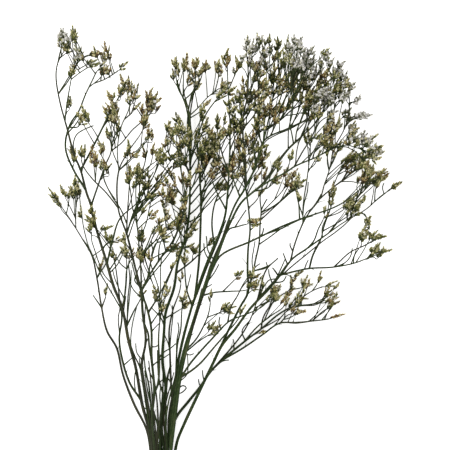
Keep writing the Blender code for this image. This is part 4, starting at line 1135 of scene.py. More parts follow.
    def _head(self, axis: Line) -> None:
        """A spike along an axis, with short side spikes that feather its lower half.

        Args:
            axis: The spike's own line, from its foot to its tip.
        """
        form, draw = self.side_spike, self.draw
        point = SHEET.point(axis.points[len(axis.points) // 2])
        bloom = Bloom.at(point, draw)
        turn, filled = draw.uniform(*self.spike_turn), draw.uniform(*self.spike_filled)
        self.spikes.append(Spike(axis, bloom, turn, draw.uniform(*self.spike_size), filled))
        along = axis.directions()[0]
        side = unit(np.cross(along, UP))
        first = draw.choice((-1.0, 1.0))
        for k in range(draw.choice(self.plan.side_spikes) if bloom.open > form.least_open else 1):
            lean = draw.uniform(*form.lean) + form.open_lean * bloom.open
            lean *= first * (-1.0) ** k
            rise = np.array([0.0, 0.0, draw.uniform(*form.rise)])
            length = axis.length * draw.uniform(*form.length)
            foot = axis.point_at(axis.length * (form.first_place + form.next_place * k))
            heading = unit(along * math.cos(lean) + side * math.sin(lean) + rise)
            knee = foot + heading * form.knee * length
            beyond = form.onward * heading + form.back * along
            tip = knee + beyond * form.beyond_knee * length
            line = Line.through([foot, knee, tip], 6).above(self.lowest_axis)
            look = Bloom.at(point, draw)
            turn, size = draw.uniform(*form.turn), draw.uniform(*form.size)
            self.spikes.append(Spike(line, look, turn, size, form.filled))

    def _spray(self, spray: Spray, start_at: int, end_at: int, draw: random.Random,
               longer: float = 0.0) -> None:
        """Some of a spray's spiked twigs, each from the nearest stalk and leaning outwards.

        Args:
            spray: Its (column, row, width, height, spikes).
            start_at: The number of the first twig to grow.
            end_at: The number after the last.
            draw: The seeded source of differences.
            longer: How much further back than usual the twigs leave what carries them.
        """
        column, row, width, height, _ = spray
        neck = SHEET.plan(self.form.neck)
        for k in range(start_at, end_at):
            across, down = ((0.5 + step * k) % 1.0 - 0.5 for step in self.spray_steps)
            plan = SHEET.plan((column + across * width, row + down * height))
            outward = plan - neck
            turn = math.atan2(outward[1], outward[0])
            turn += draw.uniform(-self.spike_sway, self.spike_sway)
            heading = np.array([math.cos(turn), math.sin(turn)])
            base = plan - heading * 0.5 * self.spike_length
            near = base - heading * self.twig_spacing * (1 + k % 3)
            back = near - heading * longer
            gap, _, _ = self._nearest(back)
            if longer and gap > self.widest_gap:
                back = near
                gap, _, _ = self._nearest(back)
            _, foot, parent = self._nearest(back - heading * self.twig_slant * gap)
            start = self.form.deviation(self.plan, foot)
            depth = float(np.clip(start + draw.uniform(*self.spray_depth), -1.0, 1.0))
            tip = plan + heading * 0.5 * self.spike_length
            bend = 0.5 * (foot[:2] + base) + heading * self.twig_bow * self.spike_length
            points = [foot]
            for place, across in ((bend, 0.5 * (start + depth)), (base, depth), (tip, depth)):
                points.append(np.append(place, self.form.height(self.plan, place, across)))
            whole = Line.through(points).above(self.lowest_axis)
            end = self._spike_foot(whole)
            line = whole.part(0.0, end, self.twig_points)
            shares = line.runs / line.length
            radii = self.twig_radius + (self.twiglet_radius - self.twig_radius) * shares
            self.stalks.append(Stalk(line, np.minimum(radii, parent), 2))
            self._head(whole.part(end, whole.length, self.spike_points))

    def _side_shoots(self) -> None:
        """Short bare shoots that leave the thicker stalks here and there."""
        form, draw = self.shoot, self.draw
        for stalk in [s for s in self.stalks if s.order <= 1 and s.line.length > form.least_stalk]:
            line = stalk.line
            place = draw.uniform(*form.first_place) * line.length
            place += form.above_neck if stalk.order == 0 else 0.0
            sign = draw.choice((-1.0, 1.0))
            while place < form.last_place * line.length:
                foot = line.point_at(place)
                ahead = unit(line.point_at(place + form.probe) - foot)
                side = np.cross(ahead, UP)
                lean = sign * draw.uniform(*form.lean)
                heading = ahead * math.cos(lean) + side * math.sin(lean)
                length = draw.uniform(*form.length)
                tip = foot + heading * length + np.array([0.0, 0.0, draw.uniform(*form.lift)])
                middle = foot + heading * 0.5 * length - side * sign * form.bow
                shoot = Line.through([foot, middle, tip], 4).above(self.lowest_axis)
                radii = np.linspace(*form.radii, len(shoot.points))
                self.stalks.append(Stalk(shoot, radii, 3))
                place += draw.uniform(*form.apart)
                sign = -sign


class MeshPile:
    """Collects many small shapes and makes one mesh of them."""

    LAYERS = ("reach", "green", "brown", "frost", "tone")

    def __init__(self) -> None:
        """Start with nothing."""
        self.points: list[np.ndarray] = []
        self.grain: list[np.ndarray] = []
        self.layers: dict[str, list[np.ndarray]] = {name: [] for name in self.LAYERS}
        self.faces: dict[int, list[np.ndarray]] = {3: [], 4: []}
        self.skins: dict[int, list[np.ndarray]] = {3: [], 4: []}
        self.smooth: dict[int, list[np.ndarray]] = {3: [], 4: []}
        self.count = 0

    def add_points(self, points: np.ndarray, grain: np.ndarray | None = None,
                   **layers: np.ndarray | float) -> int:
        """Add corner points.

        Args:
            points: Their places, one row each.
            grain: Where each lies in the finish's own pattern, by default its place.
            layers: Values of any of the named layers, for all points or for each.

        Returns:
            The number of the first one.
        """
        first = self.count
        self.points.append(points)
        self.grain.append(points if grain is None else grain)
        for name in self.LAYERS:
            self.layers[name].append(np.broadcast_to(layers.get(name, 0.0), (len(points),)))
        self.count += len(points)
        return first

    def add_faces(self, faces: np.ndarray, skin: Skin, smooth: bool) -> None:
        """Add faces of three or four corners.

        Args:
            faces: The corners' numbers, one row a face.
            skin: The faces' finish.
            smooth: Whether they are shaded smooth.
        """
        sides = faces.shape[1]
        self.faces[sides].append(faces)
        self.skins[sides].append(np.full(len(faces), skin.value))
        self.smooth[sides].append(np.full(len(faces), smooth))

    def made(self, name: str, materials: list[bpy.types.Material]) -> bpy.types.Object:
        """Make the mesh object.

        Args:
            name: The piece's name.
            materials: One material for each skin.

        Returns:
            The object, linked to the scene.
        """
        mesh = bpy.data.meshes.new(name)
        points = np.vstack(self.points)
        corners, starts, skins, smooth, at = [], [], [], [], 0
        for sides in (3, 4):
            if not self.faces[sides]:
                continue
            faces = np.vstack(self.faces[sides])
            corners.append(faces.ravel())
            starts.append(at + sides * np.arange(len(faces)))
            at += faces.size
            skins.append(np.concatenate(self.skins[sides]))
            smooth.append(np.concatenate(self.smooth[sides]))
        mesh.vertices.add(len(points))
        mesh.vertices.foreach_set("co", points.astype(np.float32).ravel())
        mesh.loops.add(at)
        mesh.loops.foreach_set("vertex_index", np.concatenate(corners).astype(np.int32))
        starts = np.concatenate(starts)
        mesh.polygons.add(len(starts))
        mesh.polygons.foreach_set("loop_start", starts.astype(np.int32))
        for material in materials:
            mesh.materials.append(material)
        mesh.polygons.foreach_set("material_index", np.concatenate(skins).astype(np.int32))
        mesh.polygons.foreach_set("use_smooth", np.concatenate(smooth))
        grain = mesh.attributes.new("grain", "FLOAT_VECTOR", "POINT")
        grain.data.foreach_set("vector", np.vstack(self.grain).astype(np.float32).ravel())
        for layer, values in self.layers.items():
            attribute = mesh.attributes.new(layer, "FLOAT", "POINT")
            attribute.data.foreach_set("value", np.concatenate(values).astype(np.float32))
        mesh.update(calc_edges=True)
        mesh.validate()
        piece = bpy.data.objects.new(name, mesh)
        bpy.context.scene.collection.objects.link(piece)
        return piece


@dataclass(frozen=True)
class StalkBuilder:
    """Makes ribbed stalks with swollen roots; the main stems have slanted cut ends."""

    sides: tuple[int, int, int, int] = (12, 8, 5, 4)
    thinness: tuple[float, float, float, float] = (0.0, 0.35, 0.75, 1.0)
    rib_height: float = 0.07
    root_swell: float = 0.35
    root_run: float = 0.004
    knot_swell: float = 0.05
    knot_run: float = 0.013
    cut_slant: float = 0.7
    tip_closing: float = 0.3
    grain_round: float = 0.0012
    grain_along: float = 0.1

    def build(self, pile: MeshPile, stalks: list[Stalk], draw: random.Random) -> None:
        """Add every stalk to a pile of shapes."""
        for stalk in stalks:
            self.add(pile, stalk, draw)

    def add(self, pile: MeshPile, stalk: Stalk, draw: random.Random) -> None:
        """Add one stalk.

        Args:
            pile: Where its shape goes.
            stalk: Its line and thickness.
            draw: The seeded source of differences.
        """
        line, sides, rows = stalk.line, self.sides[stalk.order], len(stalk.line.points)
        along = line.directions()
        side = unit(np.cross(along, UP))
        up = np.cross(side, along)
        radii = stalk.radii.copy()
        if stalk.order > 0:
            radii *= 1.0 + self.root_swell * np.exp(-line.runs / self.root_run)
        else:
            knots = np.sin(line.runs / self.knot_run + draw.uniform(0.0, 6.0))
            radii *= 1.0 + self.knot_swell * knots
        if stalk.order == 3:
            radii[-1] *= self.tip_closing
        k = np.arange(sides)
        angles = math.tau * k / sides + draw.uniform(0.0, math.tau)
        ring = radii[:, None] * (1.0 + self.rib_height * np.cos(math.pi * k))[None, :]
        corners = (line.points[:, None, :] + (ring * np.cos(angles))[:, :, None] * side[:, None, :]
                   + (ring * np.sin(angles))[:, :, None] * up[:, None, :])
        if stalk.order == 0:
            corners[0, :, 1] += self.cut_slant * (corners[0, :, 0] - line.points[0, 0])
        corners[:, :, 2] = np.maximum(corners[:, :, 2], TABLE_GAP)
        grain = np.zeros((rows, sides, 3))
        grain[:, :, 0] = np.cos(angles) * self.grain_round + draw.uniform(0.0, 5.0)
        grain[:, :, 1] = np.sin(angles) * self.grain_round
        grain[:, :, 2] = line.runs[:, None] * self.grain_along
        reach = np.repeat(line.runs / line.length, sides)
        thin = self.thinness[stalk.order]
        first = pile.add_points(corners.reshape(-1, 3), grain.reshape(-1, 3), reach=reach,
                                brown=thin, tone=draw.uniform(0.0, 1.0))
        after = (k + 1) % sides
        row = first + sides * np.arange(rows - 1)[:, None]
        quads = np.stack([row + k, row + after, row + sides + after, row + sides + k], axis=2)
        pile.add_faces(quads.reshape(-1, 4)[:, ::-1], Skin.STALK, True)
        foot_skin = Skin.PITH if stalk.order == 0 else Skin.STALK
        for end, skin in ((0, foot_skin), (rows - 1, Skin.STALK)):
            middle = corners[end].mean(axis=0)[None, :]
            centre = pile.add_points(middle, grain[end, :1], brown=thin)
            loop = first + sides * end
            fan = np.stack([loop + k, loop + after, np.full(sides, centre)], axis=1)
            pile.add_faces(fan if end == 0 else fan[:, ::-1], skin, False)


@dataclass(frozen=True)
class CalyxState:
    """A calyx of length 1, shut or open; its rim has a width and a height at lobes and between."""

    waist: float
    waist_at: float
    widths: Range
    heights: Range
    mouth_at: float


@dataclass(frozen=True)
class SpikeBuilder:
    """Makes floret spikes: papery calyces in their bracts, turned to one side like a comb.

    A row of angles is those of three florets in turn round the stalk, and a range is least
    and most.
    """

    pitch: float = 0.0015
    least_florets: int = 3
    tip_gap: float = 0.0030
    probe: float = 0.0004
    stalk_radius: float = 0.00036
    stalk_taper: float = 0.5
    stalk_end_gap: float = 0.001
    stalk_points: float = 0.004
    calyx_length: float = 0.0062
    bract_share: float = 0.74
    corolla_share: float = 0.36
    corolla_at: float = 0.86
    corolla_frost: float = 0.5
    corolla_open: float = 0.45
    corolla_tone: float = 0.2
    lean: float = math.radians(30)
    tip_lean: float = math.radians(8)
    lean_fade: float = 1.5
    lean_nudge: Range = (-0.18, 0.18)
    shut_lean: float = 0.65
    open_lean: float = 0.4
    spread_rows: tuple[float, ...] = (math.radians(12), math.radians(168), math.radians(95))
    comb_rows: tuple[float, ...] = (math.radians(5), math.radians(40), math.radians(85))
    comb: Range = (0.35, 1.0)
    comb_outwards: float = 0.35
    comb_nudge: Range = (-0.25, 0.25)
    turn_nudge: Range = (-0.4, 0.4)
    floret_gap: float = 0.0002
    tip_smaller: float = 0.3
    size: Range = (0.8, 1.12)
    look_nudges: tuple[float, ...] = (0.15, 0.2, 0.3)
    foot_open: float = 1.1
    tip_shut: float = 0.5
    open_nudge: Range = (-0.25, 0.2)
    lobes: int = 5
    shut: CalyxState = CalyxState(0.17, 0.38, (0.05, 0.09), (0.98, 0.82), 0.8)
    opened: CalyxState = CalyxState(0.12, 0.42, (0.30, 0.20), (1.0, 0.82), 0.5)

    def calyx_corners(self, state: CalyxState) -> np.ndarray:
        """Corner places of a calyx.

        Args:
            state: Shut or open.

        Returns:
            The foot, the waist's ring, the rim and the middle of the mouth, one row each.
        """
        n = self.lobes
        wide, rim = math.tau * np.arange(n) / n, math.tau * np.arange(2 * n) / (2 * n)
        flare, tops = np.tile(state.widths, n), np.tile(state.heights, n)
        middle = np.stack([state.waist * np.cos(wide), state.waist * np.sin(wide),
                           np.full(n, state.waist_at)], axis=1)
        edge = np.stack([flare * np.cos(rim), flare * np.sin(rim), tops], axis=1)
        return np.vstack([[[0.0, 0.0, 0.0]], middle, edge, [[0.0, 0.0, state.mouth_at]]])

    def calyx_faces(self) -> tuple[np.ndarray, np.ndarray]:
        """How a calyx's corners join up.

        Returns:
            The faces, and each corner's reach from the base; the middle of the mouth is given a low
            reach instead, which paints shade inside the cup.
        """
        n = self.lobes
        k = np.arange(n)
        after = (k + 1) % n
        middle, edge, inner = 1, 1 + n, 1 + 3 * n
        j = np.arange(2 * n)
        faces = [
            np.stack([np.zeros(n, int), middle + after, middle + k], axis=1),
            np.stack([middle + k, edge + 2 * k + 1, edge + 2 * k], axis=1),
            np.stack([middle + k, middle + after, edge + 2 * k + 1], axis=1),
            np.stack([middle + after, edge + 2 * after, edge + 2 * k + 1], axis=1),
            np.stack([edge + j, edge + (j + 1) % (2 * n), np.full(2 * n, inner)], axis=1),
        ]
        # The mouth's middle gets a reach of 0.3, below the waist's 0.4, so the inside of the cup is
        # painted darker: painted shade in the hollow.
        reach = np.concatenate([[0.0], np.full(n, 0.4), np.tile((1.0, 0.85), n), [0.3]])
        return np.vstack(faces), reach

    def bract_shape(self) -> tuple[np.ndarray, np.ndarray, np.ndarray]:
        """A keeled scale leaf of length 1.

        Returns:
            Its corners, its faces and each corner's reach from the base.
        """
        corners = np.array([[0.0, 0.10, 0.0], [-0.33, 0.04, 0.42], [0.33, 0.04, 0.42],
                            [0.0, 0.16, 1.0], [0.0, 0.33, 0.45], [0.0, 0.20, 0.45]])
        faces = np.array([[0, 4, 1], [0, 2, 4], [1, 4, 3], [4, 2, 3],
                          [0, 1, 5], [0, 5, 2], [1, 3, 5], [5, 3, 2]])
        return corners, faces, np.array([0.0, 0.6, 0.6, 1.0, 0.5, 0.5])

    def corolla_shape(self) -> tuple[np.ndarray, np.ndarray, np.ndarray]:
        """A small star of five petals, of radius 1, that stands in a calyx's mouth.

        Returns:
            Its corners, its faces and each corner's reach from the throat.
        """
        n = 2 * self.lobes
        k = np.arange(n)
        after = (k + 1) % n
        angles = math.tau * k / n + math.pi / n
        radius, height = np.tile((1.0, 0.5), self.lobes), np.tile((0.35, 0.15), self.lobes)
        edge = np.stack([radius * np.cos(angles), radius * np.sin(angles), height], axis=1)
        corners = np.vstack([edge, [[0.0, 0.0, 0.05]], [[0.0, 0.0, -0.12]]])
        faces = np.vstack([np.stack([k, after, np.full(n, n)], axis=1),
                           np.stack([after, k, np.full(n, n + 1)], axis=1)])
        return corners, faces, np.concatenate([np.ones(n), [0.2, 0.2]])

    def build(self, pile: MeshPile, spikes: list[Spike], draw: random.Random) -> int:
        """Add every spike to a pile of shapes.

        Args:
            pile: Where the shapes go.
            spikes: The spikes of one stem.
            draw: The seeded source of differences.

        Returns:
            How many florets were made.
        """
        places, frames, sizes, looks, opens = [], [], [], [], []
        for spike in spikes:
            self._rachis(pile, spike, draw)
            line, bloom = spike.line, spike.bloom
            bare = (1.0 - spike.filled) * line.length
            count = max(self.least_florets, round((line.length - bare) / self.pitch))
            runs = np.linspace(bare, line.length - self.tip_gap, count)
            at = line.at(runs)
            along = unit(line.at(runs + self.probe) - line.at(runs - self.probe))
            flat = unit(np.cross(along, UP))
            rise = np.cross(flat, along)
            side, comb = self._comb_side(spike, flat, draw), draw.uniform(*self.comb)
            for k in range(count):
                share = k / max(count - 1, 1)
                spread, combed = self.spread_rows[k % 3], self.comb_rows[k % 3]
                row = spread + (combed - spread) * comb
                turn = spike.turn + draw.uniform(*self.turn_nudge)
                turn += row if side > 0 else math.pi - row
                lean = self.lean + (self.tip_lean - self.lean) * share ** self.lean_fade
                lean += draw.uniform(*self.lean_nudge)
                lean *= self.shut_lean + self.open_lean * bloom.open
                outward = flat[k] * math.cos(turn) + rise[k] * math.sin(turn)
                ahead = along[k] * math.cos(lean) + outward * math.sin(lean)
                out = outward * math.cos(lean) - along[k] * math.sin(lean)
                frames.append(np.stack([np.cross(out, ahead), out, ahead], axis=1))
                places.append(at[k] + outward * self.floret_gap)
                smaller = 1.0 - self.tip_smaller * share
                sizes.append(spike.size * smaller * draw.uniform(*self.size))
                look = zip((bloom.green, bloom.brown, bloom.frost), self.look_nudges)
                fresh = [nudged(amount, (-n, n), draw) for amount, n in look]
                looks.append(fresh + [draw.uniform(0.0, 1.0)])
                opening = bloom.open * (self.foot_open - self.tip_shut * share)
                opens.append(nudged(opening, self.open_nudge, draw))
        self._florets(pile, *(np.array(v) for v in (places, frames, sizes, looks, opens)))
        return len(places)

    def _comb_side(self, spike: Spike, flat: np.ndarray, draw: random.Random) -> float:
        """Which side of its stalk a spike's florets turn to.

        Args:
            spike: The spike.
            flat: The direction to the stalk's right, for each floret.
            draw: The seeded source of differences.

        Returns:
            1.0 for the right, -1.0 for the left: the crown's side, or outwards on upright spikes.
        """
        neck, right = SHEET.plan(BunchForm.neck)[0], flat.mean(axis=0)
        outwards = math.copysign(self.comb_outwards, spike.line.points[0, 0] - neck)
        pull = right[1] + outwards * right[0] + draw.uniform(*self.comb_nudge)
        return math.copysign(1.0, pull)

    def _rachis(self, pile: MeshPile, spike: Spike, draw: random.Random) -> None:
        """Add the thin stalk that carries a spike's florets.

        Args:
            pile: Where its shape goes.
            spike: The spike.
            draw: The seeded source of differences.
        """
        line = spike.line.part(0.0, spike.line.length - self.stalk_end_gap, self.stalk_points)
        end_radius = self.stalk_taper * self.stalk_radius
        radii = np.linspace(self.stalk_radius, end_radius, len(line.points))
        StalkBuilder(rib_height=0.0).add(pile, Stalk(line, radii, 3), draw)

    def _florets(self, pile: MeshPile, places: np.ndarray, frames: np.ndarray, sizes: np.ndarray,
                 looks: np.ndarray, opens: np.ndarray) -> None:
        """Add the calyces, bracts and corollas of many florets at once.

        Args:
            pile: Where the shapes go.
            places: Each floret's base.
            frames: Each floret's own three directions, as columns.
            sizes: Each floret's size against the usual one.
            looks: Green, brown, frost and tone of each.
            opens: How far each calyx is open.
        """
        length = (self.calyx_length * sizes)[:, None, None]
        shut, opened = self.calyx_corners(self.shut), self.calyx_corners(self.opened)
        shapes = (shut + (opened - shut) * opens[:, None, None]) * length
        self._place(pile, (shapes, *self.calyx_faces()), places, frames, looks, Skin.CALYX)
        corners, faces, reach = self.bract_shape()
        shape = (corners[None] * (self.bract_share * length), faces, reach)
        self._place(pile, shape, places, frames, looks, Skin.BRACT)
        corners, faces, reach = self.corolla_shape()
        chosen = ((looks[:, 2] > self.corolla_frost) & (opens > self.corolla_open)
                  & (looks[:, 3] > self.corolla_tone))
        if chosen.any():
            length, frames = length[chosen], frames[chosen]
            mouths = places[chosen] + frames[:, :, 2] * (self.corolla_at * length[:, 0])
            shape = (corners[None] * (self.corolla_share * length), faces, reach)
            self._place(pile, shape, mouths, frames, looks[chosen], Skin.COROLLA)

    def _place(self, pile: MeshPile, shape: tuple[np.ndarray, np.ndarray, np.ndarray],
               places: np.ndarray, frames: np.ndarray, looks: np.ndarray, skin: Skin) -> None:
        """Add one copy of a shape for each place.

        Args:
            pile: Where the copies go.
            shape: The corners of each copy, the faces and each corner's reach.
            places: Where each copy stands.
            frames: Each copy's own three directions, as columns.
            looks: Green, brown, frost and tone of each.
            skin: The copies' finish.
        """
        shapes, faces, reach = shape
        count, corners = len(places), shapes.shape[1]
        points = places[:, None, :] + np.einsum("nij,nkj->nki", frames, shapes)
        points[:, :, 2] = np.maximum(points[:, :, 2], TABLE_GAP)
        spread = [np.repeat(looks[:, k], corners) for k in range(4)]
        first = pile.add_points(points.reshape(-1, 3), reach=np.tile(reach, count),
                                green=spread[0], brown=spread[1], frost=spread[2], tone=spread[3])
        offsets = first + corners * np.arange(count)
        copies = (faces[None] + offsets[:, None, None]).reshape(-1, 3)
        pile.add_faces(copies, skin, False)


class Value:
    """A number that varies over a surface, used in Python expressions that add Math nodes."""

    def __init__(self, finish: "NodeFinish", socket: bpy.types.NodeSocket) -> None:
        """Hold the socket and the finish whose nodes it belongs to."""
        self.finish = finish
        self.socket = socket

    def _math(self, operation: str, *numbers: "Value | float") -> "Value":
        """Add a Math node.

        Args:
            operation: What it does.
            numbers: What it does it to, varying or fixed.

        Returns:
            The node's result.
        """
        sockets = {k: n.socket if isinstance(n, Value) else n for k, n in enumerate(numbers)}
        node = self.finish.node("ShaderNodeMath", {"operation": operation}, sockets)
        return Value(self.finish, node.outputs[0])

    def __add__(self, other: "Value | float") -> "Value":
        """Sum."""
        return self._math("ADD", self, other)

    __radd__ = __add__

    def __sub__(self, other: "Value | float") -> "Value":
        """Difference."""
        return self._math("SUBTRACT", self, other)

    def __rsub__(self, other: "Value | float") -> "Value":
        """Difference with the number first."""
        return self._math("SUBTRACT", other, self)

    def __mul__(self, other: "Value | float") -> "Value":
        """Product."""
        return self._math("MULTIPLY", self, other)

    __rmul__ = __mul__

    def __pow__(self, other: float) -> "Value":
        """Power."""
        return self._math("POWER", self, other)

    def between(self, low: float, high: float) -> "Value":
        """0 below low, 1 above high and a smooth step in between."""
        node = self.finish.node("ShaderNodeMapRange", {"interpolation_type": "SMOOTHSTEP"},
                                {"Value": self.socket, "From Min": low, "From Max": high})
        return Value(self.finish, node.outputs[0])


Colour = tuple[float, float, float]


class NodeFinish:
    """A material under construction: makes its nodes and links them."""

    BUMP_STRENGTH = 0.8

    def __init__(self, name: str) -> None:
        """Start a material with only its output and its main shader.

        Args:
            name: The material's name.
        """
        self.material = bpy.data.materials.new(name)
        self.material.use_nodes = True
        self.tree = self.material.node_tree
        self.shader = self.tree.nodes["Principled BSDF"]

    def node(self, kind: str, settings: dict[str, object],
             inputs: dict[object, object]) -> bpy.types.Node:
        """Make any node.

        Args:
            kind: The node's type.
            settings: Its own settings, set first; "stops" sets a ramp's stops.
            inputs: A value or a link for each named or numbered socket.

        Returns:
            The node.
        """
        made = self.tree.nodes.new(kind)
        for key, value in settings.items():
            if key == "stops":
                self._set_stops(made.color_ramp, value)
            else:
                setattr(made, key, value)
        for key, value in inputs.items():
            if isinstance(value, bpy.types.NodeSocket):
                self.tree.links.new(value, made.inputs[key])
            else:
                made.inputs[key].default_value = value
        return made

    def _set_stops(self, ramp: bpy.types.ColorRamp, stops: list[tuple[float, Colour]]) -> None:
        """Give a ramp its stops.

        Args:
            ramp: The ramp.
            stops: Each stop's place and colour.
        """
        while len(ramp.elements) < len(stops):
            ramp.elements.new(1.0)
        for element, (place, colour) in zip(ramp.elements, stops):
            element.position = place
            element.color = (*colour, 1.0)

    def layer(self, name: str) -> Value:
        """A number that the mesh carries at each corner."""
        node = self.node("ShaderNodeAttribute", {"attribute_name": name}, {})
        return Value(self, node.outputs["Fac"])

    def grain(self) -> bpy.types.NodeSocket:
        """The mesh's own pattern coordinates."""
        return self.node("ShaderNodeAttribute", {"attribute_name": "grain"}, {}).outputs["Vector"]

    def noise(self, scale: float, detail: float) -> Value:
        """Soft noise in the pattern coordinates."""
        inputs = {"Vector": self.grain(), "Scale": scale, "Detail": detail}
        return Value(self, self.node("ShaderNodeTexNoise", {}, inputs).outputs["Fac"])

    def ramp(self, value: Value, stops: list[tuple[float, Colour]]) -> bpy.types.NodeSocket:
        """Colours along a value."""
        node = self.node("ShaderNodeValToRGB", {"stops": stops}, {"Fac": value.socket})
        return node.outputs["Color"]

    def mix(self, share: Value, low: bpy.types.NodeSocket | Colour,
            high: bpy.types.NodeSocket | Colour, blend: str = "MIX") -> bpy.types.NodeSocket:
        """Mix two colours.

        Args:
            share: How much of the second colour.
            low: The first colour.
            high: The second colour.
            blend: How they are put together.

        Returns:
            The mixed colour.
        """
        colours = [(*c, 1.0) if isinstance(c, tuple) else c for c in (low, high)]
        made = self.node("ShaderNodeMix", {"data_type": "RGBA", "blend_type": blend},
                         {0: share.socket, 6: colours[0], 7: colours[1]})
        return made.outputs[2]

    def finish(self, colour: bpy.types.NodeSocket, roughness: Value, bump: Value, bump_depth: float,
               **fixed: float) -> bpy.types.Material:
        """Link the main shader.

        Args:
            colour: The base colour.
            roughness: The roughness.
            bump: The height that shapes the surface.
            bump_depth: How deep the full height is, in metres.
            fixed: Constants for the shader's other sockets, with _ for each space.

        Returns:
            The finished material.
        """
        inputs = {"Height": bump.socket, "Distance": bump_depth, "Strength": self.BUMP_STRENGTH}
        made = self.node("ShaderNodeBump", {}, inputs)
        self.tree.links.new(colour, self.shader.inputs["Base Color"])
        self.tree.links.new(roughness.socket, self.shader.inputs["Roughness"])
        self.tree.links.new(made.outputs["Normal"], self.shader.inputs["Normal"])
        for key, value in fixed.items():
            self.shader.inputs[key.replace("_", " ")].default_value = value
        return self.material


@dataclass(frozen=True)
class StalkFinish:
    """Dry green bark: streaked along the stalk, greyer and browner in the thin twigs."""

    deep: Colour = (0.009, 0.017, 0.005)
    green: Colour = (0.024, 0.044, 0.013)
    pale: Colour = (0.078, 0.110, 0.040)
    twig: Colour = (0.028, 0.030, 0.015)
    straw: Colour = (0.088, 0.075, 0.036)
    ashen: Colour = (0.045, 0.040, 0.031)

    def material(self) -> bpy.types.Material:
        """Build the material.

        Returns:
            The finished material.
        """
        nodes = NodeFinish("statice_stalk")
        streaks = nodes.noise(2600.0, 3.0)
        blotches = nodes.noise(380.0, 2.0)
        bark = nodes.ramp(streaks * 0.65 + blotches * 0.35,
                          [(0.30, self.deep), (0.48, self.green), (0.66, self.pale)])
        thin = nodes.layer("brown")
        bark = nodes.mix(nodes.layer("tone").between(0.45, 1.0) * 0.7, bark, self.ashen)
        bark = nodes.mix(thin * 0.65, bark, self.twig)
        bark = nodes.mix(blotches.between(0.56, 0.72) * 0.45, bark, self.straw)
        return nodes.finish(bark, streaks * 0.25 + 0.65, streaks, 0.0003, Specular_IOR_Level=0.1)


@dataclass(frozen=True)
class PithFinish:
    """The pale cut end of a stem."""

    pith: Colour = (0.52, 0.50, 0.36)
    edge: Colour = (0.16, 0.17, 0.09)

    def material(self) -> bpy.types.Material:
        """Build the material.

        Returns:
            The finished material.
        """
        nodes = NodeFinish("statice_pith")
        pores = nodes.noise(5200.0, 2.0)
        colour = nodes.mix(pores.between(0.4, 0.7), self.pith, self.edge)
        return nodes.finish(colour, pores * 0.1 + 0.82, pores, 0.0002, Specular_IOR_Level=0.2)


@dataclass(frozen=True)
class BractFinish:
    """Small scale leaves: green keels that dry to brown, with pale skin at the edge."""

    keel: Colour = (0.038, 0.052, 0.017)
    dry: Colour = (0.060, 0.036, 0.018)
    edge: Colour = (0.20, 0.18, 0.09)

    def material(self) -> bpy.types.Material:
        """Build the material.

        Returns:
            The finished material.
        """
        nodes = NodeFinish("statice_bract")
        mottle = nodes.noise(1500.0, 2.0)
        keel = nodes.mix(nodes.layer("brown").between(0.35, 0.95), self.keel, self.dry)
        skin = nodes.layer("reach").between(0.55, 1.0) * (mottle * 0.6 + 0.35)
        colour = nodes.mix(skin, keel, self.edge)
        return nodes.finish(colour, mottle * 0.2 + 0.7, mottle, 0.0002, Specular_IOR_Level=0.12)


@dataclass(frozen=True)
class CalyxFinish:
    """Papery calyces: dark green at the foot, cream at the rim, browned or frosted by place; the
    darkest foot and umber tones are partly the calyx's own base and partly painted shade for the
    gaps deep in the spike.
    """

    # The foot and umber colours are partly the calyx's own dark base and partly painted shade for
    # the deep gaps between florets.
    foot: Colour = (0.034, 0.046, 0.010)
    leaf: Colour = (0.165, 0.180, 0.032)
    cream: Colour = (0.680, 0.630, 0.350)
    umber_and_shade: Colour = (0.054, 0.033, 0.014)
    tan: Colour = (0.350, 0.230, 0.080)
    grey: Colour = (0.240, 0.240, 0.170)
    frost: Colour = (0.850, 0.835, 0.750)

    def material(self) -> bpy.types.Material:
        """Build the material.

        Returns:
            The finished material.
        """
        nodes = NodeFinish("statice_calyx")
        reach, tone = nodes.layer("reach"), nodes.layer("tone")
        crinkle = nodes.noise(1900.0, 3.0)
        up = reach + (crinkle - 0.5) * 0.5 + (tone - 0.5) * 0.6
        # Low reach takes the dark end of each ramp: partly the calyx's own base, partly painted
        # shade between the florets and inside each cup.
        green = nodes.ramp(up, [(0.25, self.foot), (0.75, self.leaf), (1.0, self.cream)])
        cream = nodes.ramp(up, [(0.20, self.foot), (0.55, self.leaf), (0.95, self.cream)])
        brown = nodes.ramp(up, [(0.25, self.umber_and_shade), (0.70, self.tan), (1.0, self.cream)])
        frosted = nodes.ramp(up, [(0.20, self.foot), (0.50, self.grey), (0.95, self.frost)])
        colour = nodes.mix(nodes.layer("green").between(0.2, 0.9), cream, green)
        colour = nodes.mix(nodes.layer("brown").between(0.3, 0.85), colour, brown)
        colour = nodes.mix(nodes.layer("frost").between(0.3, 0.8), colour, frosted)
        return nodes.finish(colour, crinkle * 0.15 + 0.75, crinkle, 0.0003, Specular_IOR_Level=0.12)


@dataclass(frozen=True)
class CorollaFinish:
    """Small faded petals, lilac white with a darker throat."""

    petal: Colour = (0.830, 0.810, 0.800)
    throat: Colour = (0.450, 0.420, 0.430)

    def material(self) -> bpy.types.Material:
        """Build the material.

        Returns:
            The finished material.
        """
        nodes = NodeFinish("statice_corolla")
        veins = nodes.noise(2600.0, 2.0)
        colour = nodes.mix(nodes.layer("reach") * (veins * 0.5 + 0.7), self.throat, self.petal)
        return nodes.finish(colour, veins * 0.15 + 0.7, veins, 0.0002, Specular_IOR_Level=0.2)


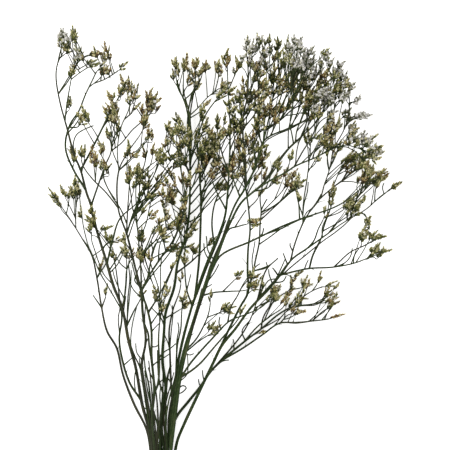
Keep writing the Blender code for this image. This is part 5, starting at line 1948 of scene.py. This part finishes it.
@dataclass(frozen=True)
class TableFinish:
    """The plain pale table, which glows faintly though it is no lamp: painted light that washes the
    shadows cast on it out to white.
    """

    light: Colour = (0.90, 0.90, 0.895)
    shade: Colour = (0.87, 0.87, 0.865)
    # Painted light: the table's own glow lifts the bunch's cast shadows on it to white.
    painted_glow: float = 0.68

    def material(self) -> bpy.types.Material:
        """Build the material.

        Returns:
            The finished material.
        """
        nodes = NodeFinish("table")
        place = nodes.node("ShaderNodeTexCoord", {}, {}).outputs["Object"]
        made = nodes.node("ShaderNodeTexNoise", {}, {"Vector": place, "Scale": 3.0, "Detail": 2.0})
        cloud = Value(nodes, made.outputs["Fac"])
        # The table emits white light of its own, painted light that hides the shadows cast on it.
        nodes.shader.inputs["Emission Color"].default_value = (1.0, 1.0, 1.0, 1.0)
        return nodes.finish(nodes.mix(cloud, self.shade, self.light), cloud * 0.1 + 0.8, cloud, 0.0,
                            Specular_IOR_Level=0.1, Emission_Strength=self.painted_glow)


@dataclass
class Wardrobe:
    """The five finishes that every stem wears, made once."""

    skins: dict[Skin, bpy.types.Material] = field(default_factory=dict)

    def __post_init__(self) -> None:
        """Make the materials."""
        finishes = {Skin.STALK: StalkFinish(), Skin.PITH: PithFinish(), Skin.BRACT: BractFinish(),
                    Skin.CALYX: CalyxFinish(), Skin.COROLLA: CorollaFinish()}
        self.skins = {skin: finish.material() for skin, finish in finishes.items()}

    def ordered(self) -> list[bpy.types.Material]:
        """The materials in the order of the skins' numbers."""
        return [self.skins[skin] for skin in Skin]


@dataclass
class StaticeStem:
    """One whole stem of the bunch as it is seen: its stalks and its spikes."""

    plan: StemPlan
    wardrobe: Wardrobe
    solid_draw: random.Random

    def build(self) -> list[bpy.types.Object]:
        """Grow the stem and make its pieces.

        Returns:
            The stalks and the spikes, riding with the bunch in place of the stem's solid.
        """
        grower = StemGrower(self.plan, self.solid_draw)
        grower.grow()
        draw = random.Random(self.plan.name + " surface")
        wood, flowers = MeshPile(), MeshPile()
        StalkBuilder().build(wood, grower.stalks, draw)
        florets = SpikeBuilder().build(flowers, grower.spikes, draw)
        skins = self.wardrobe.ordered()
        pieces = [wood.made(f"{self.plan.name}_stalks", skins),
                  flowers.made(f"{self.plan.name}_spikes", skins)]
        for piece in pieces:
            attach(piece, "root")
            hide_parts(self.plan.name)
        LOG.info("%s: %d stalks, %d spikes, %d florets", self.plan.name, len(grower.stalks),
                 len(grower.spikes), florets)
        return pieces


@dataclass(frozen=True)
class SoftBox:
    """A square soft light that faces the middle of the table."""

    name: str
    place: tuple[float, float, float]
    size: float
    power: float

    def build(self) -> None:
        """Make the light."""
        lamp = bpy.data.lights.new(self.name, "AREA")
        lamp.size = self.size
        lamp.energy = self.power
        holder = bpy.data.objects.new(self.name, lamp)
        holder.location = self.place
        x, y, z = self.place
        tilt = math.atan2(math.hypot(x, y), z)
        holder.rotation_euler = (tilt, 0.0, math.atan2(-x, y) + math.pi)
        bpy.context.scene.collection.objects.link(holder)


@dataclass
class Studio:
    """The pale table, the soft lights and the camera straight above."""

    table_width: float = 9.0
    view_centre: Point = (225.0, 225.0)
    view_width: float = 0.540
    camera_height: float = 9.0
    sensor: float = 36.0
    clip_end: float = 60.0
    sky_strength: float = 0.5
    boxes: tuple[SoftBox, ...] = (SoftBox("left_box", (-1.5, 0.9, 2.0), 1.4, 46.0),
                                  SoftBox("right_box", (1.7, -0.6, 2.2), 1.8, 16.0))

    def build(self) -> None:
        """Make the table, the lights, the sky and the camera."""
        self._table()
        self._lights()
        self._camera()
        view = bpy.context.scene.view_settings
        view.view_transform = "Standard"
        view.look = "None"

    def _table(self) -> None:
        """A flat table top just under the bunch."""
        half = 0.5 * self.table_width
        corners = [(-half, -half, 0.0), (half, -half, 0.0), (half, half, 0.0), (-half, half, 0.0)]
        mesh = bpy.data.meshes.new("table")
        mesh.from_pydata(corners, [], [(0, 1, 2, 3)])
        table = bpy.data.objects.new("table", mesh)
        mesh.materials.append(TableFinish().material())
        bpy.context.scene.collection.objects.link(table)

    def _lights(self) -> None:
        """A white sky and a large soft box on each side of the view."""
        world = bpy.data.worlds.new("studio")
        world.use_nodes = True
        sky = world.node_tree.nodes["Background"]
        sky.inputs["Color"].default_value = (1.0, 1.0, 1.0, 1.0)
        sky.inputs["Strength"].default_value = self.sky_strength
        bpy.context.scene.world = world
        for box in self.boxes:
            box.build()

    def _camera(self) -> None:
        """A long lens straight above the middle of the view."""
        data = bpy.data.cameras.new("camera")
        data.sensor_width = self.sensor
        data.lens = self.sensor * self.camera_height / self.view_width
        data.clip_end = self.clip_end
        camera = bpy.data.objects.new("camera", data)
        middle = SHEET.plan(self.view_centre)
        camera.location = (middle[0], middle[1], self.camera_height)
        bpy.context.scene.collection.objects.link(camera)
        bpy.context.scene.camera = camera


def main() -> None:
    """Build the studio and the ten stems."""
    logging.basicConfig(level=logging.INFO, format="%(message)s")
    Studio().build()
    wardrobe = Wardrobe()
    solid_draw = random.Random(SOLID_SEED)
    for plan in STEM_PLANS:
        for piece in StaticeStem(plan, wardrobe, solid_draw).build():
            LOG.info("%s: %d faces", piece.name, len(piece.data.polygons))


if __name__ == "__main__":
    main()
